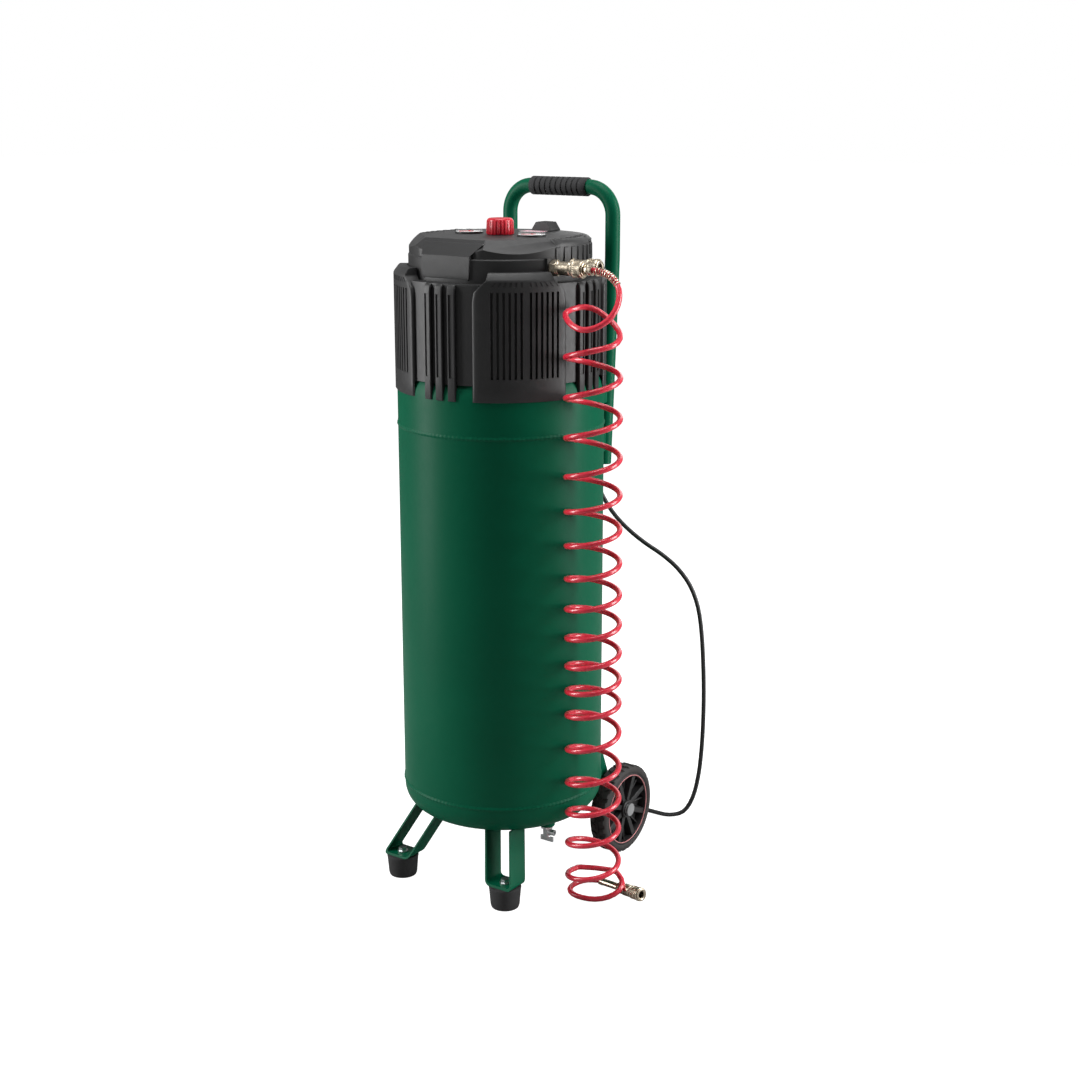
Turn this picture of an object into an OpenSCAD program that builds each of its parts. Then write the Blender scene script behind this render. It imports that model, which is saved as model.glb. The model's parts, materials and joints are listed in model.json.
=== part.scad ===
// Upright air compressor: a round tank on two feet and two wheels, with a direct-drive piston pump
// under a moulded shroud, a rear handle, quick couplings, a coiled air hose and a mains lead.
// Millimetres, +Z up, front towards -Y. Everything is set out from the tank's axis, then moved so
// that the origin is the middle of the base.

/* [Tank] */
// outside radius of the tank
tank_r = 150; // [120:1:190]
// wall thickness of the tank
tank_wall = 2.5; // [1.5:0.1:4]
// height of the lower weld seam above the floor
lower_seam_z = 147; // [125:1:200]
// length of the wall between the two weld seams
shell_len = 547; // [350:1:800]
// straight collar of the upper head, above its seam
collar_len = 52; // [30:1:80]
// straight collar of the lower head, below its seam
skirt_len = 8; // [4:1:30]
// crown radius of both heads
crown_r = 300; // [240:1:420]
// knuckle radius of both heads
knuckle_r = 36; // [20:1:50]

/* [Shroud and cover] */
// gap between the tank wall and the outside of the shroud
shroud_gap = 7; // [5:0.5:14]
// wall thickness of the mouldings
wall = 3; // [2:0.1:4]
// height of the raised corner panels
panel_h = 185; // [150:1:230]
// height of the shroud's deck above its lower edge
deck_h = 160; // [120:1:175]
// depth of the four rib recesses
recess_depth = 10; // [6:0.5:14]
// width of the upright ribs
rib_w = 11; // [6:0.5:14]
// angle between ribs
rib_step = 8; // [6:0.5:10]
// width of a cooling slot
louvre_w = 3.2; // [2:0.1:4]
// cooling slots in each corner panel
louvre_n = 12; // [6:1:13]
// radius of the top cover
cover_r = 131; // [120:1:140]
// height of the top cover
cover_h = 57; // [50:1:70]

/* [Feet, wheels and handle] */
// width of the bent leg strips
leg_w = 36; // [24:1:44]
// thickness of the leg strips
leg_t = 3; // [2:0.1:5]
// space from cheek to cheek of a leg
leg_gap = 41; // [34:1:50]
// height of a rubber foot
foot_h = 34; // [24:1:45]
// angle of the front feet from straight ahead
foot_az = 37.2; // [30:0.1:50]
// wheel radius
wheel_r = 69.5; // [55:0.5:90]
// wheel width
wheel_w = 30; // [22:1:40]
// axle bolt radius
axle_r = 6; // [5:0.5:8]
// handle tube radius
handle_r = 11; // [9:0.5:14]
// half the width between the handle's legs
handle_half = 92.5; // [75:0.5:110]
// height of the handle's cross bar above the shroud's lower edge
handle_rise = 279; // [250:1:340]
// bend radius of the handle's corners
handle_bend = 40; // [30:1:55]
// length of the handle's grip
grip_len = 100; // [80:1:120]

/* [Controls and air outlets] */
// regulator knob radius
knob_r = 19; // [15:0.5:24]
// regulator knob height
knob_h = 20; // [14:0.5:26]
// gauge radius
gauge_r = 20.5; // [16:0.5:24]
// distance of each gauge from the knob
gauge_x = 55; // [48:0.5:62]
// radius of a coupling's air socket
socket_r = 5.1; // [4:0.1:6]
// distance of the front coupling from the middle, towards the front
coupling_front = 45; // [30:1:55]
// distance of the rear coupling from the middle, towards the front
coupling_rear = 8; // [0:1:15]

/* [Pump] */
// motor housing radius
motor_r = 45; // [38:0.5:48]
// motor housing length
motor_len = 95; // [80:1:100]
// shaft radius
shaft_r = 6; // [5:0.5:8]
// half the piston's stroke
throw = 5; // [3:0.5:7]
// cylinder bore radius
bore_r = 25; // [22:0.5:26]

/* [Hose and lead] */
// air hose radius
hose_r = 4; // [3:0.5:5]
// mean radius of the hose's coil
coil_r = 37.4; // [30:0.5:40]
// mains lead radius
lead_r = 3.5; // [3:0.5:5]

/* [Hidden] */
$fn = 64;

fit = 0.05;       // radial running clearance
gap = 0.5;        // clearance between mouldings
air = 1;          // clearance round a pocket
deep = 1000;      // longer than any cut needs

// tank
head_depth = crown_r - sqrt(pow(crown_r - knuckle_r, 2) - pow(tank_r - knuckle_r, 2));
upper_seam_z = lower_seam_z + shell_len;
head_z = upper_seam_z + collar_len;
tank_top = head_z + head_depth;
tank_bottom = lower_seam_z - skirt_len - head_depth;
bead_r = 2.2;
function head_z_at(r) = tank_top - crown_r + sqrt(crown_r * crown_r - r * r);

// shroud and cover
shroud_r = tank_r + shroud_gap;
shroud_z = head_z - 1;
core_r = shroud_r - recess_depth;
core_in = core_r - wall;
panel_z = shroud_z + panel_h;
deck_z = shroud_z + deck_h;
panel_half = 28;
panel_in = cover_r + 1.5;
rib_top = deck_z - 8;
recess_up = 24;
louvre_step = 3.3;
louvre_low = shroud_z + 32;
louvre_high = shroud_z + 152;
cover_top = deck_z + cover_h;
deck_hole = cover_r - 9;
nose_y = cover_r - 4;

// wheels, feet, handle
wheel_x = tank_r - 25;
wheel_y = tank_r - 8.5;
bracket_x = wheel_x - wheel_w / 2 - 9;
bracket_t = 4;
tyre_t = 12;
hub_r = wheel_r - tyre_t;
foot_pitch = tank_r + 10;
foot_x = foot_pitch * sin(foot_az);
foot_y = -foot_pitch * cos(foot_az);
leg_lean_x = 23.6;
leg_lean_y = 32;
leg_top_z = lower_seam_z - 40;
handle_y = tank_r + 1.5;
handle_top = shroud_z + handle_rise;
lean = 3.4;
lean_bend = 150;
lean_z = shroud_z + 182;
leg_low = 300;
grip_wall = 2.8;

// controls
base_z = tank_top + 4;
plate_t = 3;
mount_h = 8;
axis_y = -35;
foot_plate = 3;
axis_z = base_z + plate_t + mount_h + foot_plate + motor_r + 1;
motor_front = -2;
crank_back = motor_front + 4;
crank_len = 44;
crank_front = crank_back + crank_len;
cyl_x = crank_back + crank_len / 2;
crank_half = 38;
barrel_len = 49;
barrel_r = bore_r + 3.5;
cyl_end = axis_y + crank_half + barrel_len;
outlet_z = panel_z - 5;
socket_face = shroud_r + 19;
manifold_front = cover_r - 9;
knob_z = cover_top + gap;
switch_y = 100;
switch_x = 9;
drain_x = tank_r * 0.55;

// middle of the base
shift_x = -(socket_face - shroud_r) / 2;
shift_y = -(wheel_y + wheel_r - shroud_r) / 2;
module placed() { translate([shift_x, shift_y, 0]) children(); }

lead_x = -56;
lead_z = shroud_z + 45;

// the hose and the lead, by points of their own, from the tank's axis
coil_low = [190, -35, 30];
coil_high = [194, -53, 868];
hose_lead_route = [[211, -45.5, 917], [225, -47, 908], [237, -50, 898], [244, -57, 887],
  [245, -69, 874], [238, -80, 862], [223, -90, 853], [204, -94, 851], [186, -90, 855], [172, -82, 861]];
hose_tail_route = [[176, -4, 37], [196, 10, 33], [213, 12, 27], [224, 2, 22], [223, -14, 15],
  [213, -30, 8], [197, -41, 4.6], [178, -47, 4.6], [161, -44, 4.6], [150, -33, 4.6],
  [147, -16, 4.6], [152, -1, 5.2], [163, 8, 6.2], [176, 11, 7]];
cord_route = [[-56, 172, 790], [-55, 190, 783], [-50, 208, 762], [-42, 221, 728], [-32, 230, 686],
  [-19, 236, 636], [-4, 240, 588], [14, 243, 548], [36, 245, 516], [64, 246, 492], [96, 247, 473],
  [128, 248, 458], [156, 249, 440], [178, 251, 415], [192, 253, 382], [198, 256, 340], [200, 260, 290],
  [200, 264, 240], [198, 268, 190], [194, 272, 140], [187, 276, 92], [175, 280, 50], [156, 284, 20],
  [128, 287, 6], [98, 288, 3.6], [62, 288, 3.6], [24, 287, 3.6], [-16, 286, 3.6], [-56, 288, 3.6],
  [-90, 293, 3.6], [-118, 301, 3.6], [-140, 305.5, 3.6], [-156, 306.5, 3.6]];
stow = [-158, 268];
stow_r = 38.5;
stow_h = 21.4;

// ---- helpers ----
module tube(r, h, bore) { difference() { cylinder(r = r, h = h); translate([0, 0, -1]) cylinder(r = bore, h = h + 2); } }
module along_x() { rotate([0, 90, 0]) children(); }
module along_y() { rotate([-90, 0, 0]) children(); }
module both() { children(); mirror([1, 0, 0]) children(); }
function unit(v) = v / norm(v);
function heading(p, i) = unit(p[min(i + 1, len(p) - 1)] - p[max(i - 1, 0)]);
// a ring's first direction stays across the path and off the vertical
function side_of(t) = unit(cross(t, abs(t[2]) > 0.9 ? [1, 0, 0] : [0, 0, 1]));
function frame_at(p, i) = i == 0 ? side_of(heading(p, 0))
  : let (u = frame_at(p, i - 1), t = heading(p, i)) unit(u - (u * t) * t);
module sweep(p, r, n) {
  sides = [for (i = [0:len(p) - 1]) let (t = heading(p, i), u = frame_at(p, i), v = cross(t, u))
    for (k = [0:n - 1]) p[i] + r * (cos(360 * k / n) * u + sin(360 * k / n) * v)];
  m = len(p);
  polyhedron(sides, concat(
    [[for (k = [0:n - 1]) k]],
    [for (i = [0:m - 2]) for (k = [0:n - 1]) each [
      [i * n + k, (i + 1) * n + k, (i + 1) * n + (k + 1) % n],
      [i * n + k, (i + 1) * n + (k + 1) % n, i * n + (k + 1) % n]]],
    [[for (k = [n - 1:-1:0]) (m - 1) * n + k]]), convexity = 8);
}

// ---- tank ----
module head_2d(r, crown, knuckle) {
  depth = crown - sqrt(pow(crown - knuckle, 2) - pow(r - knuckle, 2));
  edge_r = crown * (r - knuckle) / (crown - knuckle);
  edge_z = depth - crown + sqrt(crown * crown - edge_r * edge_r);
  intersection() {
    translate([0, depth - crown]) circle(crown, $fn = 180);
    translate([0, edge_z]) square([edge_r, crown]);
  }
  polygon([[0, 0], [r - knuckle, 0], [edge_r, edge_z], [0, edge_z]]);
  intersection() {
    translate([r - knuckle, 0]) circle(knuckle);
    polygon([[r - knuckle, 0], [r + knuckle, 0], [r + knuckle, knuckle * 2], [edge_r, edge_z]]);
  }
}
module tank_body(inset) {
  translate([0, 0, head_z]) rotate_extrude($fn = 128) head_2d(tank_r - inset, crown_r - inset, knuckle_r - inset);
  translate([0, 0, lower_seam_z - skirt_len]) mirror([0, 0, 1]) rotate_extrude($fn = 128)
    head_2d(tank_r - inset, crown_r - inset, knuckle_r - inset);
  translate([0, 0, lower_seam_z - skirt_len]) cylinder(r = tank_r - inset, h = head_z - lower_seam_z + skirt_len);
}
module tank_shell() color("darkgreen") placed() {
  difference() {
    union() {
      tank_body(0);
      for (z = [lower_seam_z, upper_seam_z]) translate([0, 0, z]) rotate_extrude($fn = 128)
        translate([tank_r - 1, 0]) circle(bead_r);
      // threaded bosses for the drain and for the check valve
      translate([drain_x, 0, tank_bottom + 2]) cylinder(r = 12, h = 26);
      translate([70, 63, head_z_at(94) - 6]) cylinder(r = 13, h = 16);
    }
    tank_body(tank_wall);
    translate([drain_x, 0, tank_bottom - 10]) cylinder(r = 6, h = 60);
    translate([70, 63, head_z_at(94) - 30]) cylinder(r = 7, h = 60);
  }
}
module drain_valve() color("goldenrod") placed() translate([drain_x, 0, tank_bottom + 2]) {
  difference() {
    union() {
      translate([0, 0, -4]) cylinder(r = 10, h = 4, $fn = 6);
      cylinder(r = 5.9, h = 18);
      translate([0, 0, -16]) cylinder(r = 6, h = 12);
      translate([0, 0, -10]) along_x() cylinder(r = 4.5, h = 14);
    }
    translate([0, 0, -14]) cylinder(r = 2, h = 40);
    translate([8, 0, -10]) along_x() cylinder(r = 2, h = 20);
  }
}
module drain_tap() color("silver") placed() translate([drain_x, 0, tank_bottom - 14.3]) {
  translate([0, 0, -2.7]) cylinder(r = 5, h = 2.7);
  translate([-11, -1.5, -9]) cube([22, 3, 7]);
}

// ---- handle ----
module handle_leg(r) {
  translate([handle_half, handle_y - lean_bend, lean_z]) {
    rotate([0, 0, 90]) rotate([90, 0, 0]) rotate([0, 0, -lean]) rotate_extrude(angle = lean)
      translate([lean_bend, 0]) circle(r, $fn = 48);
    rotate([-lean, 0, 0]) translate([0, lean_bend, -leg_low]) cylinder(r = r, h = leg_low);
    // butt weld between the upright and the bend
    translate([0, lean_bend, -1.5]) cylinder(r = r + 0.3, h = 3);
  }
}
module handle_bar(r) {
  translate([-handle_half + handle_bend, handle_y, handle_top]) along_x()
    cylinder(r = r, h = 2 * (handle_half - handle_bend));
  both() {
    translate([handle_half - handle_bend, handle_y, handle_top - handle_bend]) rotate([90, 0, 0])
      rotate_extrude(angle = 90) translate([handle_bend, 0]) circle(r, $fn = 48);
    translate([handle_half, handle_y, lean_z]) cylinder(r = r, h = handle_top - handle_bend - lean_z);
    handle_leg(r);
  }
}
module handle_tube() color("darkgreen") placed() difference() {
  union() {
    handle_bar(handle_r);
    // weld saddles that carry the tube on the tank wall
    both() for (z = [upper_seam_z - 55, upper_seam_z + 18]) translate([handle_half - 7, handle_y - 50, z])
      cube([14, 36, 28]);
  }
  handle_bar(handle_r - 1.8);
  translate([0, 0, lower_seam_z]) cylinder(r = tank_r - 0.5, h = head_z - lower_seam_z);
}
module handle_grip() color("dimgray") placed() translate([-grip_len / 2, handle_y, handle_top]) along_x() difference() {
  cylinder(r = handle_r + grip_wall, h = grip_len);
  translate([0, 0, -1]) cylinder(r = handle_r, h = grip_len + 2);
  for (i = [0:6]) translate([0, 0, grip_len / 2 + (i - 3) * 10 - 1.5]) difference() {
    cylinder(r = handle_r + grip_wall + 1, h = 3);
    translate([0, 0, -1]) cylinder(r = handle_r + grip_wall - 1.2, h = 5);
  }
}

// ---- feet ----
module leg_strip() {
  // a base tab and two cheeks that lean back and up to the lower head
  rise = leg_top_z - foot_h - leg_t;
  translate([-leg_gap / 2 - leg_t, -leg_w / 2, foot_h]) cube([leg_gap + 2 * leg_t, leg_w, leg_t]);
  for (s = [-1, 1]) translate([s * (leg_gap + leg_t) / 2, 0, foot_h])
    multmatrix([[1, 0, leg_lean_x / -57, 0], [0, 1, leg_lean_y / 57, 0], [0, 0, 1, 0], [0, 0, 0, 1]])
      translate([-leg_t / 2, -leg_w / 2, 0]) cube([leg_t, leg_w, rise]);
}
module leg() difference() {
  translate([foot_x, foot_y, 0]) difference() {
    leg_strip();
    translate([0, 0, foot_h - 1]) cylinder(r = 4.2, h = leg_t + 2);
  }
  tank_body(0.5);
}
module front_leg_right() color("darkgreen") placed() leg();
module front_leg_left() color("darkgreen") placed() mirror([1, 0, 0]) leg();
module rubber_feet() color("black") placed() both() translate([foot_x, foot_y, 0]) difference() {
  rotate_extrude() polygon([[0, 0], [20, 0], [21.5, 3], [24, foot_h], [0, foot_h]]);
  translate([0, 0, -1]) cylinder(r = 8, h = 9);
  translate([0, 0, -1]) cylinder(r = 4, h = foot_h + 2);
}
module foot_bolts() color("silver") placed() both() translate([foot_x, foot_y, 0]) {
  translate([0, 0, foot_h + leg_t]) cylinder(r = 8, h = 1.6);
  translate([0, 0, foot_h + leg_t + 1.6]) cylinder(r = 6.5, h = 5.2, $fn = 6);
  translate([0, 0, 8]) cylinder(r = 3.9, h = foot_h + leg_t - 7);
}

// ---- wheels ----
axle_z = wheel_r;
module axle_brackets() color("darkgreen") placed() both() difference() {
  union() {
    translate([bracket_x, 0, 0]) rotate([90, 0, 90]) linear_extrude(bracket_t) difference() {
      union() {
        translate([wheel_y, axle_z]) circle(17);
        polygon([[wheel_y - 17, axle_z], [wheel_y - 62, lower_seam_z - 22],
          [wheel_y - 62, lower_seam_z + 45], [wheel_y - 34, lower_seam_z + 45], [wheel_y + 17, axle_z]]);
      }
      translate([wheel_y, axle_z]) circle(axle_r + 0.3);
    }
    // welded flange
    translate([bracket_x - 22, wheel_y - 62, lower_seam_z - 10]) cube([24, 50, 4]);
  }
  tank_body(0.5);
}
module axle_bolts() color("silver") placed() both() translate([0, wheel_y, axle_z]) {
  translate([bracket_x - 14, 0, 0]) along_x() cylinder(r = axle_r, h = wheel_x + wheel_w / 2 + 1 - bracket_x + 14);
  translate([wheel_x + wheel_w / 2 + 1, 0, 0]) along_x() cylinder(r = 10, h = 3);
}
module axle_nuts() color("silver") placed() both() translate([0, wheel_y, axle_z]) {
  translate([bracket_x - 9, 0, 0]) along_x() difference() {
    cylinder(r = 10.5, h = 9, $fn = 6);
    translate([0, 0, -1]) cylinder(r = axle_r, h = 11);
  }
  translate([bracket_x + bracket_t, 0, 0]) along_x() difference() {
    cylinder(r = 10, h = wheel_x - wheel_w / 2 - bracket_x - bracket_t - 0.3);
    translate([0, 0, -1]) cylinder(r = axle_r, h = 11);
  }
}
module tyre() translate([wheel_x - wheel_w / 2, wheel_y, axle_z]) along_x() rotate_extrude($fn = 96)
  difference() {
    polygon([[hub_r, 1], [hub_r + 4, 0], [wheel_r - 4, 0], [wheel_r, 4], [wheel_r, wheel_w - 4],
      [wheel_r - 4, wheel_w], [hub_r + 4, wheel_w], [hub_r, wheel_w - 1]]);
    for (k = [-1, 0, 1]) translate([wheel_r - 1.2, wheel_w / 2 + k * 7 - 1]) square([3, 2]);
  }
module hub() translate([wheel_x - wheel_w / 2, wheel_y, axle_z]) along_x() difference() {
  union() {
    tube(hub_r, wheel_w - 2, hub_r - 4);
    cylinder(r = 14, h = wheel_w);
    translate([0, 0, wheel_w / 2 - 3]) cylinder(r = hub_r - 2, h = 6);
    for (i = [0:7]) rotate(45 * i + 22.5) translate([12, -2.5, 3]) cube([hub_r - 14, 5, wheel_w - 7]);
  }
  translate([0, 0, -1]) cylinder(r = axle_r + fit, h = wheel_w + 2);
}
module tyre_right() color("black") placed() tyre();
module tyre_left() color("black") placed() mirror([1, 0, 0]) tyre();
module hub_right() color("dimgray") placed() hub();
module hub_left() color("dimgray") placed() mirror([1, 0, 0]) hub();

// ---- pump ----
module pump_platform() color("dimgray") placed() {
  difference() {
    translate([-110, -80, base_z]) cube([164, 150, plate_t]);
    translate([-40, 10, base_z - 1]) cube([70, 50, plate_t + 2]);
    for (x = [-88, 40], y = [-68, -2]) translate([x, y, base_z - 1]) cylinder(r = 3.5, h = plate_t + 2);
  }
  for (x = [-100, 46], y = [-70, 60]) difference() {
    translate([x, y, base_z - 32]) cylinder(r = 6, h = 32);
    tank_body(0.5);
  }
}
module rubber_mounts() color("black") placed() for (x = [-88, 40], y = [-68, -2])
  translate([x, y, base_z + plate_t]) tube(8, mount_h, 3.5);
module motor_housing() color("silver") placed() {
  z0 = base_z + plate_t + mount_h;
  difference() {
    union() {
      translate([motor_front - motor_len, axis_y, axis_z]) along_x() cylinder(r = motor_r, h = motor_len);
      translate([motor_front - motor_len, axis_y - 42, z0]) cube([motor_len, 84, foot_plate]);
      for (s = [-1, 1]) translate([motor_front - motor_len, axis_y + s * 22 - 5, z0]) cube([motor_len, 10, 18]);
    }
    translate([motor_front - motor_len + 4, axis_y, axis_z]) along_x() cylinder(r = motor_r - 3, h = motor_len - 8);
    translate([motor_front - motor_len - 1, axis_y, axis_z]) along_x() cylinder(r = 11, h = motor_len + 2);
    for (i = [0:5]) translate([motor_front - motor_len - 1, axis_y, axis_z]) rotate([60 * i, 0, 0])
      translate([0, -4, 18]) cube([6, 8, 18]);
    for (y = [-68, -2]) translate([-88, y, z0 - 1]) cylinder(r = 3.5, h = 6);
    // the end shield clears the foot of the barrel
    translate([cyl_x, axis_y + crank_half - gap, axis_z]) along_y() cylinder(r = barrel_r + gap, h = barrel_len);
  }
}
module motor_stator() color("gray") placed() translate([motor_front - motor_len + 20, axis_y, axis_z]) along_x()
  difference() {
    cylinder(r = motor_r - 3, h = motor_len - 44);
    translate([0, 0, -1]) cylinder(r = 23.5, h = motor_len);
    for (i = [0:11]) rotate(30 * i) translate([22, -2, -1]) cube([9, 4, motor_len]);
  }
module shaft_bearings() color("silver") placed() for (x = [motor_front - motor_len, crank_back])
  translate([x, axis_y, axis_z]) along_x() difference() {
    tube(11, 4, 8.5);
    translate([0, 0, 1]) tube(9.5, 2, 7.8);
  }
module motor_rotor() color("gray") placed() translate([0, axis_y, axis_z]) {
  translate([motor_front - motor_len - 14, 0, 0]) along_x() cylinder(r = shaft_r, h = motor_len + 14 + 12 - motor_front - 2);
  for (x = [motor_front - motor_len, crank_back]) translate([x, 0, 0]) along_x() cylinder(r = 8.5 - fit, h = 4);
  translate([motor_front - motor_len + 22, 0, 0]) along_x() cylinder(r = 23, h = motor_len - 48);
  // crank cheek with its counterweight, and the eccentric pin
  translate([crank_back + 6, 0, 0]) along_x() cylinder(r = 15, h = 8);
  translate([crank_back + 6, -26, -11]) cube([8, 22, 22]);
  translate([crank_back + 14, throw, 0]) along_x() cylinder(r = 8, h = 16);
}
module cooling_fan() color("black") placed() translate([motor_front - motor_len - 12, axis_y, axis_z]) along_x() {
  tube(10, 9, shaft_r);
  for (i = [0:8]) rotate(40 * i) translate([9, -1, 0]) rotate([22, 0, 0]) cube([28, 2, 8]);
}
module crankcase() color("silver") placed() difference() {
  z0 = base_z + plate_t + mount_h;
  translate([crank_back, axis_y - crank_half, z0]) cube([crank_len, 2 * crank_half, axis_z + 42 - z0]);
  translate([crank_back + 4, axis_y, axis_z]) along_x() cylinder(r = 33, h = crank_len - 8);
  translate([crank_back - 1, axis_y, axis_z]) along_x() cylinder(r = 11, h = 6);
  translate([cyl_x, axis_y, axis_z]) along_y() cylinder(r = 19.9, h = crank_half + 1);
  for (y = [-68, -2]) translate([40, y, z0 - 1]) cylinder(r = 3.5, h = 8);
}
module cylinder_fins() for (i = [0:5]) translate([cyl_x - 24, axis_y + crank_half + 5 + i * 7.6, axis_z - 30])
  cube([54, 2.6, 60]);
module barrel() color("silver") placed() difference() {
  union() {
    translate([cyl_x, axis_y + crank_half, axis_z]) along_y() cylinder(r = barrel_r, h = barrel_len);
    cylinder_fins();
  }
  translate([cyl_x, axis_y + crank_half - 1, axis_z]) along_y() cylinder(r = bore_r, h = 51);
}
module cylinder_head() color("silver") placed() difference() {
  union() {
    translate([cyl_x - 30, cyl_end, axis_z - 30]) cube([60, 14, 60]);
    for (i = [0:5]) translate([cyl_x - 28 + i * 10.6, cyl_end + 14, axis_z - 28]) cube([3, 6, 56]);
  }
  translate([cyl_x - 18, cyl_end - 1, axis_z - 18]) cube([36, 9, 36]);
  translate([cyl_x + 10, cyl_end + 7, axis_z - 10]) along_x() cylinder(r = 5, h = 30);
}
module piston_rod() color("silver") placed() translate([crank_back + 15.5, axis_y + throw, axis_z]) {
  difference() {
    union() {
      along_x() cylinder(r = 12, h = 13);
      translate([6.5 - 4, 8, -5]) cube([8, crank_half + 28, 10]);
      translate([6.5, crank_half + 34, 0]) along_y() cylinder(r = bore_r - throw - 1, h = 8);
    }
    translate([-1, 0, 0]) along_x() cylinder(r = 8 + fit, h = 15);
  }
}
module intake_filter() color("black") placed() translate([cyl_x - 54, cyl_end + 7, axis_z + 8]) along_x() {
  cylinder(r = 14, h = 18);
  translate([0, 0, 18]) cylinder(r = 6, h = 6);
}
module discharge_pipe() color("peru") placed() {
  translate([cyl_x + 28, cyl_end + 7, axis_z - 10]) along_x() cylinder(r = 4.9, h = 6);
  translate([cyl_x + 34, cyl_end + 7, axis_z - 22]) rotate([90, 0, 0]) rotate_extrude(angle = 90)
    translate([12, 0]) circle(4.9, $fn = 32);
  translate([cyl_x + 46, cyl_end + 7, check_top]) cylinder(r = 4.9, h = axis_z - 22 - check_top);
}
check_top = head_z_at(94) + 36;
module check_valve() color("goldenrod") placed() translate([70, cyl_end + 7, 0]) {
  translate([0, 0, head_z_at(94) - 4]) cylinder(r = 6.9, h = 14);
  translate([0, 0, head_z_at(94) + 10]) cylinder(r = 11, h = 18, $fn = 6);
  translate([0, 0, head_z_at(94) + 28]) cylinder(r = 8, h = check_top - head_z_at(94) - 28);
}
module pressure_switch() color("dimgray") placed() {
  difference() {
    translate([-14, 84, base_z + 22]) cube([46, 30, deck_z + 7 - base_z - 22]);
    translate([switch_x, switch_y, deck_z - 10]) cylinder(r = 5, h = 40);
  }
  difference() {
    translate([switch_x, 106, base_z - 26]) cylinder(r = 8, h = 48);
    tank_body(0.5);
  }
}
module start_capacitor() color("black") placed() {
  translate([-106, 46, base_z + 42]) along_x() cylinder(r = 18, h = 66);
  translate([-96, 36, base_z + plate_t]) cube([46, 20, 24]);
}
module regulator_body() color("goldenrod") placed() difference() {
  translate([0, 0, outlet_z - 9]) cylinder(r = 13, h = cover_top - wall - outlet_z + 7);
  translate([0, 0, cover_top - wall - 14]) cylinder(r = 4 + fit, h = 20);
}
module outlet_manifold() color("silver") placed() difference() {
  union() {
    translate([12, 0, outlet_z]) along_x() cylinder(r = 7, h = manifold_front - 20);
    translate([manifold_front - 22, -coupling_front - 12, outlet_z - 13])
      cube([22, coupling_front + coupling_rear + 12, 26]);
  }
  translate([0, 0, outlet_z - 20]) cylinder(r = 13, h = 40);
  for (y = [-coupling_front, -coupling_rear]) translate([manifold_front - 12, y, outlet_z]) along_x()
    cylinder(r = 6, h = 20);
}
safety_at = [84, -55];
module safety_valve() color("goldenrod") placed() translate([safety_at[0], safety_at[1], 0]) difference() {
  union() {
    translate([0, 0, head_z_at(norm(safety_at)) + 0.5]) cylinder(r = 5, h = base_z + plate_t + 2 - head_z_at(norm(safety_at)));
    translate([0, 0, base_z + plate_t + 1]) cylinder(r = 8, h = 14, $fn = 6);
    translate([0, 0, base_z + plate_t + 15]) cylinder(r = 6, h = 14);
  }
  translate([0, 0, base_z + plate_t + 19]) cylinder(r = 2.1, h = 20);
}
module safety_ring() color("silver") placed() translate([safety_at[0], safety_at[1], base_z + plate_t + 20]) {
  cylinder(r = 2, h = 14);
  translate([0, 0, 21]) rotate([90, 0, 0]) rotate_extrude() translate([8, 0]) circle(1.2, $fn = 24);
}

// ---- shroud and cover ----
module arc(half) rotate(-90 - half) rotate_extrude(angle = 2 * half, $fn = 128) children();
module corners() for (i = [0:3]) rotate(45 + 90 * i) children();
module corner_panel() {
  arc(panel_half) polygon([[shroud_r, shroud_z], [shroud_r, panel_z - 12], [shroud_r - 8, panel_z],
    [panel_in, panel_z], [panel_in, deck_z - 1], [panel_in + wall, deck_z - 1], [panel_in + wall, panel_z - wall],
    [shroud_r - 8 - wall, panel_z - wall], [shroud_r - wall, panel_z - 12 - wall / 2], [shroud_r - wall, shroud_z]]);
  // the panel's two side walls
  both() rotate(panel_half) rotate([90, 0, -90]) linear_extrude(wall) polygon([
    [shroud_r - 0.5, shroud_z + 0.5], [shroud_r - 0.5, panel_z - 12.5], [shroud_r - 8.5, panel_z - 0.5],
    [panel_in + 0.5, panel_z - 0.5], [panel_in + 0.5, deck_z - 1], [core_in + 1, deck_z - 1],
    [core_in + 1, shroud_z + recess_up + 1], [tank_r + 1.5, shroud_z + recess_up - 4], [tank_r + 1.5, shroud_z + 0.5]]);
}
module rib() translate([0, -shroud_r + 2.5, shroud_z]) rotate([90, 0, 180]) linear_extrude(recess_depth - 1.5)
  polygon([[-rib_w / 2, 0], [rib_w / 2, 0], [rib_w / 2, rib_top - shroud_z - 3], [rib_w / 2 - 3, rib_top - shroud_z],
    [3 - rib_w / 2, rib_top - shroud_z], [-rib_w / 2, rib_top - shroud_z - 3]]);
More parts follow.
